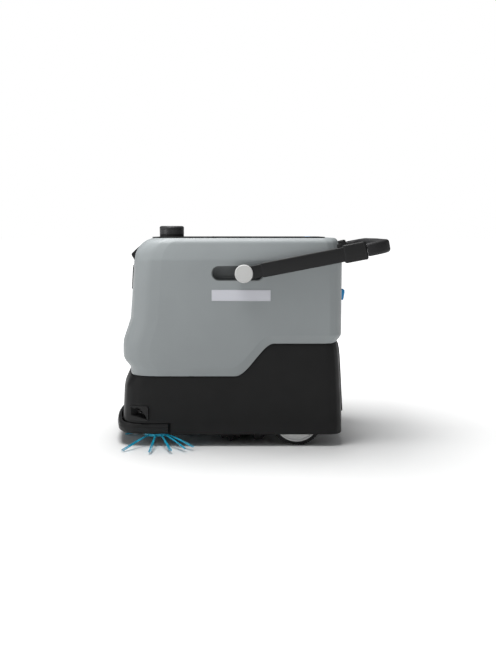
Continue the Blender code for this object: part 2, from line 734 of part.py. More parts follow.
collar = turned(((0.0345, 0.0018), (0.0375, 0.0008), (0.0375, -0.0058), (0.0345, -0.0058)),
                sides=24)
for side, sign in (("left", -1), ("right", 1)):
    axis = empty("side_brush_axis_" + side, (BRUSH_X, sign * BRUSH_Y, BRUSH_Z),
                 (0, -BRUSH_TILT, 0), MACHINE)
    place("side_brush_hub_" + side, turned(hub_profile, sides=24), "black_shell", axis)
    angles = [a + half for a in TUFT_ANGLES for half in (0, 180)]
    tufts = place("side_brush_tufts_" + side, collar.copy(), "blue_bristle", axis)
    fuse(tufts, join_meshes("tufts", [tuft(-sign * a) for a in angles]))
    place("side_brush_motor_" + side, turned(motor_profile, sides=18), "dark_trim", axis)

# ---- main brush and its drive -------------------------------------------------------------

BELT_Y = (0.1805, 0.1895)
roller = empty("main_brush_axis", (0, 0, ROLLER_Z), parent=MACHINE)
core_profile = ((0, 0.192), (0.0060, 0.192), (0.0060, BELT_Y[1] + 0.001),
                (DRIVEN_PULLEY_R, BELT_Y[1] + 0.001), (DRIVEN_PULLEY_R, BELT_Y[0] - 0.001),
                (0.0080, BELT_Y[0] - 0.001), (0.0080, 0.1650), (0.0220, 0.1650),
                (0.0220, -0.1650), (0.0080, -0.1650), (0.0080, -0.1780), (0, -0.1780))
place("main_brush_core", turned(core_profile, axis="Y", sides=18), "black_shell", roller)


def bristle_star():
    """The outline of the sleeve with its eight strips, seen along the axis."""
    points = []
    for i in range(8):
        middle = math.tau * i / 8
        for offset, radius in ((-0.30, 0.0265), (-0.080, ROLLER_R), (0.080, ROLLER_R),
                               (0.30, 0.0265)):
            a = middle + offset
            points.append((radius * math.cos(a), radius * math.sin(a)))
    return points


star = slab_xz(bristle_star(), -ROLLER_HALF, ROLLER_HALF, [circle(0.0225, sides=24)])
place("main_brush_bristles", star, "black_shell", roller)

deck_at = (0, ROLLER_Z)
arch_outline = smooth_arc(deck_at, 0.046, -18, 198, 12) + smooth_arc(deck_at, 0.042, 198, -18, 12)
deck = place("brush_deck", slab_xz(arch_outline, -0.1740, 0.1740), "dark_trim")
cheek_outline = smooth_arc(deck_at, 0.0455, 0, 180, 8) + [(-0.046, 0.017), (0.046, 0.017)]
end_cheek = slab_xz(cheek_outline, 0.1725, 0.1760, [circle(0.0085, deck_at, 12)])
fuse(deck, both_sides(end_cheek),
     box((0.0400, -0.120, 0.0484), (0.068, 0.120, 0.0514), "rear_flange"),
     box((-0.068, -0.120, 0.0484), (-0.0400, 0.120, 0.0514), "front_flange"))

brush_motor = turned(((0, 0.1900), (0.0030, 0.1900), (0.0030, 0.1760), (0.0220, 0.1760),
                      (0.0220, 0.1000), (0, 0.1000)), axis="Y", sides=20)
motor_piece = place("brush_motor", brush_motor, "aluminium", location=(0, 0, PULLEY_Z))
cradle = box((-0.014, 0.110, 0.0776 - PULLEY_Z), (0.014, 0.160, -0.018), "cradle")
fuse(motor_piece, cradle)
small_pulley = turned(((0.0034, 0.1900), (DRIVE_PULLEY_R, 0.1900), (DRIVE_PULLEY_R, 0.1790),
                       (0.0034, 0.1790)), axis="Y", sides=20)
place("drive_pulley", small_pulley, "aluminium", location=(0, 0, PULLEY_Z))


def belt_loop(clearance):
    """The belt's path round the large pulley below and the small one above."""
    large, small = DRIVEN_PULLEY_R + clearance, DRIVE_PULLEY_R + clearance
    lean = math.degrees(math.asin((large - small) / (PULLEY_Z - ROLLER_Z)))
    low = smooth_arc((0, ROLLER_Z), large, 180 - lean, 360 + lean, 12)
    return low + smooth_arc((0, PULLEY_Z), small, lean, 180 - lean, 8)


belt = slab_xz(belt_loop(0.0028), *BELT_Y, [belt_loop(0.0005)], "brush_belt")
place("brush_belt", belt, "rubber")

# ---- squeegee and suction -----------------------------------------------------------------


def squeegee_path(y):
    return 0.092 - 0.025 * (y / 0.200) ** 2


def squeegee_band(near, far, z0, z1, half_width, name):
    """A curved strip between two distances from the squeegee's path."""
    spans = [half_width * i / 4 for i in range(-4, 5)]
    outline = [(squeegee_path(y) + near, y) for y in spans]
    outline += [(squeegee_path(y) + far, y) for y in reversed(spans)]
    return flat_solid(outline, z1 - z0, (), Matrix.Translation((0, 0, (z0 + z1) / 2)), name)


holder = place("squeegee_holder", squeegee_band(-0.007, 0.007, 0.016, 0.038, 0.168, "holder"),
               "aluminium")
fuse(holder, both_sides(box((0.0780, 0.110, 0.034), (0.0920, 0.124, 0.0436), "hanger")))
cut(holder, drum(0.0066, (0.092, 0, 0.00), (0.092, 0, 0.05), 16))
blade = place("squeegee_blade", squeegee_band(-0.0104, 0.0104, 0.002, 0.033, 0.1715, "blade"),
              "rubber")
cut(blade, squeegee_band(-0.0074, 0.0074, -0.004, 0.038, 0.1685, "inside"))

duct_path = ((0.092, 0, 0.0410), (0.092, 0, 0.240), (0.094, 0, 0.262), (0.0965, 0, 0.272),
             (0.098, 0, 0.320))
duct = place("suction_duct", tube(duct_path, 0.013, 3), "black_shell")
fuse(duct, drum(0.013, (0.094, 0, 0.315), (0.1152, 0, 0.315), 14))

hose_path = ((0.106, 0.100, 0.445), (0.088, 0.140, 0.444), (0.064, 0.172, 0.436),
             (-0.060, 0.172, 0.400), (-0.104, 0.140, 0.376), (-0.142, 0.045, 0.350),
             (-0.149, 0.006, 0.336), (-0.150, 0.0, 0.3065))
place("vacuum_hose", tube(hose_path, 0.011, 2), "dark_trim")

FAN_AT = (-0.150, 0, 0)
housing_profile = ((0, 0.245), (0.054, 0.245), (0.054, 0.301), (0.014, 0.301), (0.014, 0.305),
                   (0.058, 0.305), (0.058, 0.215), (0, 0.215))
vacuum = place("vacuum_housing", turned(housing_profile, sides=20), "dark_trim",
               location=FAN_AT)
for x, y in ((-0.034, -0.034), (-0.034, 0.034), (0.034, -0.034), (0.034, 0.034)):
    fuse(vacuum, drum(0.006, (x, y, 0.1304), (x, y, 0.220), 10))
impeller = turned(((0, 0.036), (0.009, 0.036), (0.011, 0.004), (0.050, 0.004), (0.050, 0),
                   (0, 0)), sides=20)
fan = place("vacuum_impeller", impeller, "aluminium", location=(-0.150, 0, 0.250))
for i in range(3):
    spin = Matrix.Rotation(math.radians(60 * i), 4, "Z")
    fuse(fan, moved(box((-0.046, -0.0012, 0.002), (0.046, 0.0012, 0.030), "vane"), spin))

# ---- tanks, battery and electronics -------------------------------------------------------


def bucket(x0, x1, half_y, z0, z1, radius, wall, name):
    """An open tank."""
    centre = ((x0 + x1) / 2, 0)
    outer = rounded_rect(x1 - x0, 2 * half_y, radius, centre, 3)
    inner = rounded_rect(x1 - x0 - 2 * wall, 2 * (half_y - wall), radius - wall, centre, 3)
    levels = ((outer, z0), (outer, z1), (inner, z1), (inner, z0 + wall))
    rings = [[(x, y, z) for x, y in loop] for loop, z in levels]
    return loft(rings, caps=(True, True), name=name)


TANK_WALL = 0.003
clean_tank = place("clean_tank", bucket(-0.068, 0.056, 0.150, 0.140, 0.522, 0.014, TANK_WALL,
                                        "clean_tank"), "tank")
for x in (-0.0615, 0.0515):
    leg = box((x - 0.0045, 0.122, 0.0484), (x + 0.0045, 0.138, 0.1415), "leg")
    fuse(clean_tank, both_sides(leg))

place("recovery_tank", bucket(0.116, 0.292, 0.128, 0.2930, 0.470, 0.014, TANK_WALL,
                              "recovery_tank"), "tank")
FACE_SPAN = HALF_WIDTH - 0.045
drawer_face = patch(UPPER_REAR, mirrored_shares(0, 0.27, 0.54, 0.7505), (0.477, 0.385, 0.2933),
                    -WALL, -0.0001, FACE_SPAN, False, "drawer_face")
place("drawer_face", drawer_face, "grey_shell")

LATCH_AT = (0.3022, -0.115, 0.4040)
latch_axis = empty("latch_axis", LATCH_AT, parent=MACHINE)
paddle = smooth_arc((0, 0), 0.0024, 180, 90, 4) + [(0.0040, 0.0024), (0.0062, 0.0004),
                                                   (0.0062, -0.0060), (0.0024, -0.0262),
                                                   (-0.0024, -0.0262)]
latch = slab_xz(paddle, -0.020, 0.020, name="drawer_latch")
place("drawer_latch", latch, "blue_trim", latch_axis, bevel=0.0006, segments=1)

place("battery_pack", box((0.119, -0.1175, 0.0484), (0.257, 0.1175, 0.165), "battery_pack"),
      "black_shell", bevel=0.004)
place("control_box", box((-0.200, -0.120, 0.0484), (-0.072, 0.120, 0.130), "control_box"),
      "aluminium", bevel=0.002)

# ---- handle -------------------------------------------------------------------------------
# The slider is a long shutter behind the slot, with a shaft that comes out of it. The arm tilts
# about the slider's shaft, and its own lengths run along its local X. The grip slides out of the
# arms.

ARM_START, ARM_END = 0.0465, 0.3225
SLEEVE_START = 0.262
ARM_HALF_HEIGHT = 0.019
ARM_MIDDLE = (ARM_Y[0] + ARM_Y[1]) / 2
ARM_HALF_WIDTH = (ARM_Y[1] - ARM_Y[0]) / 2
COVER_START = 0.3235
GRIP_X, GRIP_CORNER = 0.372, 0.040
SLIT_HALF = 0.0096

slide = empty("handle_slide", (PIVOT[0], 0, PIVOT[1]), parent=MACHINE)
tilt = empty("handle_tilt", turn=(0, -HANDLE_RISE, 0), parent=slide)

liner = slab_xz(stadium(SLOT_HALF - GAP, SLOT_FRONT, SLOT_REAR, PIVOT[1], 8), 0.2060, 0.2294)
liner_recess = slab_xz(stadium(SLOT_HALF - 0.0023, SLOT_FRONT, SLOT_REAR, PIVOT[1], 8),
                       0.2090, 0.2350)
liner_slit = slab_xz(stadium(SLIT_HALF, SLOT_FRONT, SLOT_REAR, PIVOT[1], 6), 0.2000, 0.2150)
block = box((-0.122, 0.2010, -0.013), (0.122, 0.2050, 0.013), "slot_shutter")
shaft = drum(0.009, (0, 0.200, 0), (0, 0.2470, 0), 20)


def arm_box(x0, x1, half_width, half_height, name):
    return box((x0, ARM_MIDDLE - half_width, -half_height),
               (x1, ARM_MIDDLE + half_width, half_height), name)


hub = drum(0.020, (0, 0.2360, 0), (0, 0.2540, 0), 28)
neck = box((0.004, 0.2385, -0.0165), (ARM_START + 0.004, 0.2575, 0.0165), "neck")
neck_relief = drum(0.0245, (0, 0.2538, 0), (0, 0.2700, 0), 28)
shaft_bore = drum(0.0093, (0, 0.2300, 0), (0, 0.2492, 0), 20)
stem_bore = drum(0.0054, (0, 0.2450, 0), (0, 0.2600, 0), 14)
sleeve_bulge = arm_box(SLEEVE_START, ARM_END, ARM_HALF_WIDTH + 0.0022, 0.0235, "sleeve")
hollow = arm_box(ARM_START + 0.008, ARM_END + 0.01, 0.0080, 0.0160, "hollow")
knob_hole = box((0.2480, 0.2425, 0.010), (0.2600, 0.2535, 0.030), "knob_hole")
cap = drum(0.0237, (0, 0.2578, 0), (0, 0.2630, 0), 32, 0.0225)
cap_stem = drum(0.0050, (0, 0.2510, 0), (0, 0.2600, 0), 14)
knob = box((0.2486, 0.2431, 0.0186), (0.2594, 0.2529, 0.0290), "knob")

for side, flip in (("left", MIRROR_Y), ("right", Matrix())):
    slot_liner = place("slot_liner_" + side, moved(liner, flip), "grey_shell")
    cut(slot_liner, moved(liner_recess, flip), moved(liner_slit, flip))
    slider = place("handle_slider_" + side, moved(block, flip), "aluminium", slide)
    fuse(slider, moved(shaft, flip))
    arm_mesh = arm_box(ARM_START, ARM_END, ARM_HALF_WIDTH, ARM_HALF_HEIGHT, "arm")
    arm = place("handle_arm_" + side, moved(arm_mesh, flip), "dark_trim", tilt)
    fuse(arm, moved(neck, flip))
    cut(arm, moved(neck_relief, flip))
    fuse(arm, moved(hub, flip), moved(sleeve_bulge, flip))
    cut(arm, *[moved(m, flip) for m in (shaft_bore, stem_bore, hollow, knob_hole)])
    pivot_cap = place("pivot_button_" + side, moved(cap, flip), "light_cap", tilt)
    fuse(pivot_cap, moved(cap_stem, flip))
    place("grip_release_" + side, moved(knob, flip), "dark_trim", tilt, bevel=0.001)


def grip_path(start):
    """The U of the grip, from one arm's end round the crossbar to the other's."""
    corner = (GRIP_X - GRIP_CORNER, ARM_MIDDLE - GRIP_CORNER)
    half = [(start, ARM_MIDDLE), (0.329, ARM_MIDDLE)]
    half += smooth_arc(corner, GRIP_CORNER, 90, 0, 6)
    half.append((GRIP_X + 0.003, 0.0))
    return half + [(x, -y) for x, y in reversed(half[:-1])]


def bar_along(path, half_width, half_height, corner, name):
    """A bar of rectangular section, with its corners cut, along a path in the XY plane."""
    rings = []
    w, h, c = half_width, half_height, corner
    section = ((w, -h + c), (w, h - c), (w - c, h), (-w + c, h), (-w, h - c), (-w, -h + c),
               (-w + c, -h), (w - c, -h))
    if not corner:
        section = ((w, -h), (w, h), (-w, h), (-w, -h))
    for i, (x, y) in enumerate(path):
        here = Vector((x, y))
        back = (here - Vector(path[i - 1])).normalized() if i else None
        ahead = (Vector(path[i + 1]) - here).normalized() if i < len(path) - 1 else None
        back, ahead = back or ahead, ahead or back
        along = (back + ahead).normalized()
        across = Vector((along.y, -along.x)) / along.dot(ahead)
        rings.append([(x + across.x * a, y + across.y * a, z) for a, z in section])
    return loft(rings, caps=(True, True), name=name)


place("grip_frame", bar_along(grip_path(0.085), 0.0074, 0.0150, 0, "grip_frame"), "aluminium",
      tilt)
handle_grip = place("handle_grip", bar_along(grip_path(COVER_START), 0.016, 0.017, 0.007,
                                             "handle_grip"), "rubber", tilt)
cut(handle_grip, bar_along(grip_path(COVER_START - 0.01), 0.0078, 0.0154, 0, "core"))
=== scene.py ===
import json
from math import atan2, copysign, cos, dist, pi, radians, sin, tau

import bmesh
import bpy
import numpy as np
from mathutils import Matrix, Vector


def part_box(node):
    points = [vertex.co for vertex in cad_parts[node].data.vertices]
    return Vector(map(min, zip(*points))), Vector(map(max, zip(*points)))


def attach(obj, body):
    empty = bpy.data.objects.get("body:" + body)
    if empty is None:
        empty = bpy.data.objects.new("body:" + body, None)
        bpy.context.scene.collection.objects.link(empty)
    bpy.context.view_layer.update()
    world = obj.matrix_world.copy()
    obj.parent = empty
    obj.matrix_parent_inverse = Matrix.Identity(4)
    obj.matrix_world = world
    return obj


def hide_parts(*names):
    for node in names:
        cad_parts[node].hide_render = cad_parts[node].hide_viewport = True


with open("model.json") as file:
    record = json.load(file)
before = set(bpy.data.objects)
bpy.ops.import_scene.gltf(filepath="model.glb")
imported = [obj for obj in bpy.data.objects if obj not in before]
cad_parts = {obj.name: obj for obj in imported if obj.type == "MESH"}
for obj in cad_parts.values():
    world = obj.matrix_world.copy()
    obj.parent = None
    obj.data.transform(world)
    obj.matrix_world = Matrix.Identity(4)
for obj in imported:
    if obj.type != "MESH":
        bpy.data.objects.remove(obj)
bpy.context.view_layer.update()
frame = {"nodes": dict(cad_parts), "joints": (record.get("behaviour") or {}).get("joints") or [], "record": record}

# Lengths are metres. Shapes are worked out in the housing's own frame, whose X = 0 is the axis of
# the main brush, and piece() puts them in the part's frame. The robot drives towards -X.
ROLLER_Z = 0.031
ZERO = sum(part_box("main_brush_core"), Vector()) / 2
ZERO.y = 0.0
ZERO.z -= ROLLER_Z
SHIFT = Matrix.Translation(ZERO)
MIRROR = Matrix.Diagonal((1, -1, 1, 1))
UPSIDE_DOWN = Matrix.Rotation(pi, 4, "X")


def cad(node):
    """A CAD node's lowest and highest corner in the housing's frame."""
    low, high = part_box(node)
    return low - ZERO, high - ZERO


def middle(node):
    low, high = cad(node)
    return (low + high) / 2


# ---- materials ----

class Look:
    """A procedural material: broad colour drift, a moulded or worked grain, and edge wear."""

    def __init__(self, name, colour, roughness, **socket):
        self.material = bpy.data.materials.new(name)
        self.material.use_nodes = True
        self.tree = self.material.node_tree
        self.shader = self.tree.nodes["Principled BSDF"]
        self.colour = Vector(colour)
        self.roughness = roughness
        for key, value in socket.items():
            self.shader.inputs[key.replace("_", " ")].default_value = value
        self.place = self.tree.nodes.new("ShaderNodeTexCoord").outputs["Object"]

    def add(self, kind, **values):
        node = self.tree.nodes.new("ShaderNode" + kind)
        for key, value in values.items():
            if key in node.inputs:
                node.inputs[key].default_value = value
            else:
                setattr(node, key, value)
        return node

    def link(self, output, target):
        self.tree.links.new(output, target)

    def noise(self, scale, detail, stretch=None):
        node = self.add("TexNoise", Scale=scale, Detail=detail)
        place = self.place
        if stretch:
            mapping = self.add("Mapping")
            mapping.inputs["Scale"].default_value = stretch
            self.link(place, mapping.inputs["Vector"])
            place = mapping.outputs["Vector"]
        self.link(place, node.inputs["Vector"])
        return node.outputs["Fac"]

    def ranged(self, source, low, high, from_low=0.3, from_high=0.7):
        node = self.add("MapRange")
        for index, value in enumerate((from_low, from_high, low, high)):
            node.inputs[index + 1].default_value = value
        self.link(source, node.inputs[0])
        return node.outputs[0]

    def blend(self, factor, a, b):
        """A mix of two colours; inputs 6 and 7 are the Mix node's colour sockets."""
        node = self.add("Mix", data_type="RGBA")
        for socket, value in ((node.inputs[6], a), (node.inputs[7], b)):
            if isinstance(value, bpy.types.NodeSocket):
                self.link(value, socket)
            else:
                socket.default_value = (*value, 1.0)
        self.link(factor, node.inputs[0])
        return node.outputs[2]

    def drift(self, amount, scale, rough=0.06, detail=3.0, stretch=None):
        """Colour and gloss that wander a little over the surface."""
        source = self.noise(scale, detail, stretch)
        dark, light = self.colour * (1 - amount), self.colour * (1 + amount)
        self.shade = self.blend(self.ranged(source, 0.0, 1.0), dark, light)
        gloss = self.noise(scale * 3.1, detail, stretch)
        low, high = self.roughness - rough, self.roughness + rough
        self.link(self.ranged(gloss, low, high), self.shader.inputs["Roughness"])
        self.link(self.shade, self.shader.inputs["Base Color"])
        return self

    def speckle(self, amount, scale):
        """Fine pigment grain on top of the drift."""
        source = self.ranged(self.noise(scale, 1.0), 0.0, amount)
        self.shade = self.blend(source, self.shade, self.colour * 1.9)
        self.link(self.shade, self.shader.inputs["Base Color"])
        return self

    def wear(self, amount, colour):
        """Lighter rubbed edges, where the surface is sharply convex."""
        point = self.add("NewGeometry").outputs["Pointiness"]
        edge = self.ranged(point, 0.0, amount, 0.515, 0.58)
        self.shade = self.blend(edge, self.shade, colour)
        self.link(self.shade, self.shader.inputs["Base Color"])
        return self

    def bumpy(self, *layers):
        """Bump from layers of (scale, depth in metres, detail, stretch)."""
        normal = None
        for scale, depth, detail, stretch in layers:
            bump = self.add("Bump", Distance=depth, Strength=0.8)
            self.link(self.noise(scale, detail, stretch), bump.inputs["Height"])
            if normal:
                self.link(normal, bump.inputs["Normal"])
            normal = bump.outputs["Normal"]
        self.link(normal, self.shader.inputs["Normal"])
        return self


def plastic(name, colour, roughness, grain=650, depth=0.00006, drift=0.035, edge=0.25, **socket):
    socket.setdefault("Specular_IOR_Level", 0.35)
    look = Look(name, colour, roughness, **socket)
    look.drift(drift, 7.0).speckle(0.05, 1400)
    look.wear(edge, Vector(colour) * 1.5 + Vector((0.01, 0.01, 0.01)))
    look.bumpy((grain, depth, 2.0, None), (5.0, 0.0006, 2.0, None))
    return look.material


def metal(name, colour, roughness, stretch):
    """Worked metal, its grain drawn out by a stretch along each axis."""
    look = Look(name, colour, roughness, Metallic=1.0)
    look.drift(0.06, 14.0, 0.08)
    look.bumpy((220, 0.00003, 3.0, stretch), (60, 0.00004, 2.0, None))
    return look.material


def rubbery(name, colour, roughness, grain=900, depth=0.0001):
    look = Look(name, colour, roughness, Specular_IOR_Level=0.3)
    look.drift(0.12, 18.0, 0.05).speckle(0.1, 900)
    look.bumpy((grain, depth, 3.0, None), (40, 0.0001, 2.0, None))
    return look.material


GREY = (0.286, 0.308, 0.314)
LOOKS = {
    "grey_shell": plastic("grey_moulding", GREY, 0.46, edge=0.18),
    "black_shell": plastic("black_moulding", (0.0134, 0.0134, 0.0136), 0.5, depth=0.00008,
                           Specular_IOR_Level=0.16),
    "dark_trim": plastic("charcoal_moulding", (0.0168, 0.0168, 0.0172), 0.46, depth=0.00009,
                         Specular_IOR_Level=0.2),
    "light_cap": plastic("pale_cap", (0.58, 0.58, 0.57), 0.36, drift=0.02, edge=0.1),
    "blue_trim": plastic("blue_moulding", (0.024, 0.29, 0.64), 0.34, drift=0.04, edge=0.15),
    "tank": plastic("milky_tank", (0.52, 0.56, 0.57), 0.38, drift=0.03, Subsurface_Weight=0.15,
                    Subsurface_Scale=0.004),
    "black_glass": Look("smoked_window", (0.006, 0.006, 0.008), 0.1, Coat_Weight=0.4,
                        Coat_Roughness=0.06).drift(0.25, 9.0, 0.03).bumpy(
                            (6.0, 0.0002, 1.0, None)).material,
    "rubber": rubbery("soft_rubber", (0.016, 0.016, 0.017), 0.62),
    "tyre": rubbery("tyre_rubber", (0.014, 0.014, 0.014), 0.78, 500, 0.0002),
    "blue_bristle": Look("blue_nylon", (0.012, 0.42, 0.62), 0.38, Specular_IOR_Level=0.4).drift(
        0.22, 60.0, 0.08).bumpy((700, 0.00005, 2.0, None)).material,
    "aluminium": metal("satin_aluminium", (0.6, 0.6, 0.61), 0.36, (1, 14, 14)),
    "steel": metal("rolled_steel", (0.42, 0.42, 0.43), 0.34, (1, 9, 1)),
    "brass": metal("brass_strip", (0.62, 0.43, 0.17), 0.28, (1, 1, 12)),
    "badge": plastic("badge_plate", (0.58, 0.585, 0.63), 0.36, 1100, 0.00003, 0.015, 0.1),
    "turret": plastic("turret_moulding", (0.032, 0.032, 0.033), 0.46, edge=0.15),
    "turret_band": plastic("turret_window", (0.034, 0.034, 0.036), 0.34, depth=0.00002),
    "wheel_white": plastic("wheel_disc_white", (0.8, 0.8, 0.79), 0.34, drift=0.02, edge=0.1),
    "dark_screw": metal("blackened_screw", (0.1, 0.1, 0.105), 0.4, (1, 1, 1)),
    # A darker copy of the grey moulding for the slot's guide and shutter: the recess's shade is painted into its
    # colour.
    "shaded_slot_grey": plastic("slot_moulding_painted_shade", (0.12, 0.128, 0.13), 0.52, edge=0.1),
}


# ---- mesh helpers ----

def finished(bm):
    mesh = bpy.data.meshes.new("mesh")
    bm.to_mesh(mesh)
    bm.free()
    return mesh


def to_mesh(bm):
    """The finished mesh, with its faces turned outwards."""
    bmesh.ops.recalc_face_normals(bm, faces=bm.faces)
    if bm.calc_volume(signed=True) < 0:
        bmesh.ops.reverse_faces(bm, faces=bm.faces)
    return finished(bm)


def joined(*meshes):
    bm = bmesh.new()
    for mesh in meshes:
        bm.from_mesh(mesh)
    return finished(bm)


def moved(mesh, matrix):
    copy = mesh.copy()
    copy.transform(matrix)
    if matrix.determinant() < 0:
        copy.flip_normals()
    return copy


def both(mesh):
    return joined(mesh, moved(mesh, MIRROR))


def placed(name, data):
    """A new object in the scene."""
    obj = bpy.data.objects.new(name, data)
    bpy.context.scene.collection.objects.link(obj)
    return obj


def worked(mesh, *steps):
    """The mesh after some modifiers, each given as (type, settings)."""
    holder = placed("holder", mesh)
    spare = [holder]
    for kind, settings in steps:
        modifier = holder.modifiers.new(kind, kind)
        for key, value in settings.items():
            if isinstance(value, bpy.types.Mesh):
                value = placed("tool", value)
                spare.append(value)
            setattr(modifier, key, value)
    bpy.context.view_layer.update()
    graph = bpy.context.evaluated_depsgraph_get()
    made = bpy.data.meshes.new_from_object(holder.evaluated_get(graph))
    for obj in spare:
        bpy.data.objects.remove(obj)
    return made


def combined(operation, mesh, tools):
    return worked(mesh, *[("BOOLEAN", {"operation": operation, "object": t}) for t in tools])


def without(mesh, *tools):
    return combined("DIFFERENCE", mesh, tools)


def united(mesh, *tools):
    return combined("UNION", mesh, tools)


def piece(name, mesh, look, body, replaces=None, angle=32):
    """A finished piece of the visual model, which rides on a body of the CAD model."""
    mesh.transform(SHIFT)
    obj = placed(name, mesh)
    mesh.materials.clear()
    mesh.materials.append(LOOKS[look])
    mesh.shade_smooth()
    mesh.set_sharp_from_angle(angle=radians(angle))
    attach(obj, body)
    if replaces:
        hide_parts(replaces)


def loft(rings, caps=(True, True)):
    """A skin through closed rings of points; each ring has the same number of points."""
    bm = bmesh.new()
    rows = [[bm.verts.new(p) for p in ring] for ring in rings]
    count = len(rows[0])
    for upper, lower in zip(rows, rows[1:]):
        for i in range(count):
            j = (i + 1) % count
            bm.faces.new((upper[i], lower[i], lower[j], upper[j]))
    for wanted, row in zip(caps, (rows[0], rows[-1])):
        if wanted:
            bm.faces.new(row)
    return to_mesh(bm)


def soft_box(low, high, radius, steps=3):
    """A block with rounded edges and corners."""
    low, high = Vector(low), Vector(high)
    bm = bmesh.new()
    bmesh.ops.create_cube(bm, size=1.0)
    bmesh.ops.scale(bm, vec=high - low, verts=bm.verts)
    bmesh.ops.translate(bm, vec=(low + high) / 2, verts=bm.verts)
    bmesh.ops.bevel(bm, geom=list(bm.edges), offset=radius, segments=steps, profile=0.5,
                    affect="EDGES")
    return to_mesh(bm)


def soft_slab(outline, low, high, radius=0.0, axis="Y", steps=2):
    """An outline extruded from low to high, its long edges rounded.

    The outline lies in XZ when the axis is Y, and in XY when the axis is Z.
    """
    bm = bmesh.new()
    if axis == "Y":
        ends = [[bm.verts.new((u, level, v)) for u, v in outline] for level in (low, high)]
    else:
        ends = [[bm.verts.new((u, v, level)) for u, v in outline] for level in (low, high)]
    near, far = ends
    count = len(outline)
    for i in range(count):
        j = (i + 1) % count
        bm.faces.new((near[i], near[j], far[j], far[i]))
    bm.faces.new(near)
    bm.faces.new(far)
    if radius:
        level = 1 if axis == "Y" else 2
        rims = [e for e in bm.edges if abs(e.verts[0].co[level] - e.verts[1].co[level]) < 1e-7]
        bmesh.ops.bevel(bm, geom=rims, offset=radius, segments=steps, profile=0.5,
                        affect="EDGES")
    return to_mesh(bm)


def softened(points, radius, steps=3, closed=False):
    """A polyline whose corners are rounded off."""
    points = [Vector(p) for p in points]
    made = [] if closed else [points[0]]
    for i in range(0 if closed else 1, len(points) - (0 if closed else 1)):
        before, here, after = points[i - 1], points[i], points[(i + 1) % len(points)]
        reach = min(radius, (before - here).length * 0.45, (after - here).length * 0.45)
        a = here + (before - here).normalized() * reach
        b = here + (after - here).normalized() * reach
        for k in range(steps + 1):
            t = k / steps
            made.append(a * (1 - t) ** 2 + here * (2 * t * (1 - t)) + b * t * t)
    if not closed:
        made.append(points[-1])
    return made


TURNS = {"Z": Matrix(), "Y": Matrix.Rotation(radians(-90), 4, "X"),
         "-Y": Matrix.Rotation(radians(90), 4, "X")}


def lathe(profile, axis="Z", sides=72, soft=0.0, reach=None, start=(0, 0, 0)):
    """A closed outline of (radius, height) points turned round an axis.

    reach(angle, radius, height) may change a point's radius from place to place.
    """
    if soft:
        profile = softened([(*p, 0) for p in profile], soft, 3, profile[0][0] > 0)
        profile = [(p.x, p.y) for p in profile]
    bm = bmesh.new()
    columns = []
    for i in range(sides):
        a = tau * i / sides
        column = []
        for r, h in profile:
            if reach and r > 1e-6:
                r = reach(a, r, h)
            column.append((r * cos(a), r * sin(a), h))
        columns.append(column)
    poles = {k: bm.verts.new((0, 0, h)) for k, (r, h) in enumerate(profile) if r < 1e-6}
    rows = [[poles[k] if k in poles else bm.verts.new(p) for k, p in enumerate(column)]
            for column in columns]
    count = len(profile)
    last = count if profile[0][0] > 1e-6 else count - 1
    for i, row in enumerate(rows):
        following = rows[(i + 1) % sides]
        for k in range(last):
            m = (k + 1) % count
            corners = []
            for v in (row[k], following[k], following[m], row[m]):
                if v not in corners:
                    corners.append(v)
            if len(corners) > 2:
                bm.faces.new(corners)
    bm.transform(Matrix.Translation(start) @ TURNS[axis])
    return to_mesh(bm)


def drum(radius, top, foot, axis="Z", sides=72, soft=0.0, start=(0, 0, 0)):
    """A plain round solid between two heights on its axis."""
    return lathe(((0, top), (radius, top), (radius, foot), (0, foot)), axis, sides, soft,
                 start=start)


def rod(points, radii, sides):
    """A round bar along points, with a radius for each point."""
    points = [Vector(p) for p in points]
    rings = []
    side = None
    for i, p in enumerate(points):
        along = (points[min(i + 1, len(points) - 1)] - points[max(i - 1, 0)]).normalized()
        if side is None:
            side = along.orthogonal().normalized()
        side = (side - along * side.dot(along)).normalized()
        other = along.cross(side)
        rings.append([p + (side * cos(tau * k / sides)
                           + other * sin(tau * k / sides)) * radii[i]
                      for k in range(sides)])
    return loft(rings)


def arc(centre, radius, start, end, steps):
    angles = [radians(start + (end - start) * i / steps) for i in range(steps + 1)]
    return [(centre[0] + radius * cos(a), centre[1] + radius * sin(a)) for a in angles]


def stadium(half_height, x0, x1, z):
    """A slot's outline, with a half round at both ends."""
    return arc((x1, z), half_height, -90, 90, 20) + arc((x0, z), half_height, 90, 270, 20)


def round_rect(x0, x1, y0, y1, radius, steps=6):
    return (arc((x1 - radius, y1 - radius), radius, 0, 90, steps)
            + arc((x0 + radius, y1 - radius), radius, 90, 180, steps)
            + arc((x0 + radius, y0 + radius), radius, 180, 270, steps)
            + arc((x1 - radius, y0 + radius), radius, 270, 360, steps))


def spread(low, high, count):
    """Evenly spaced numbers from low to high, with this many steps."""
    return [low + (high - low) * i / count for i in range(count + 1)]


def ease(t):
    t = min(max(t, 0.0), 1.0)
    return t * t * (3 - 2 * t)


# ---- outlines of the housings ----
# Each table gives the housing's reach (front, rear, half width) by height, in millimetres.

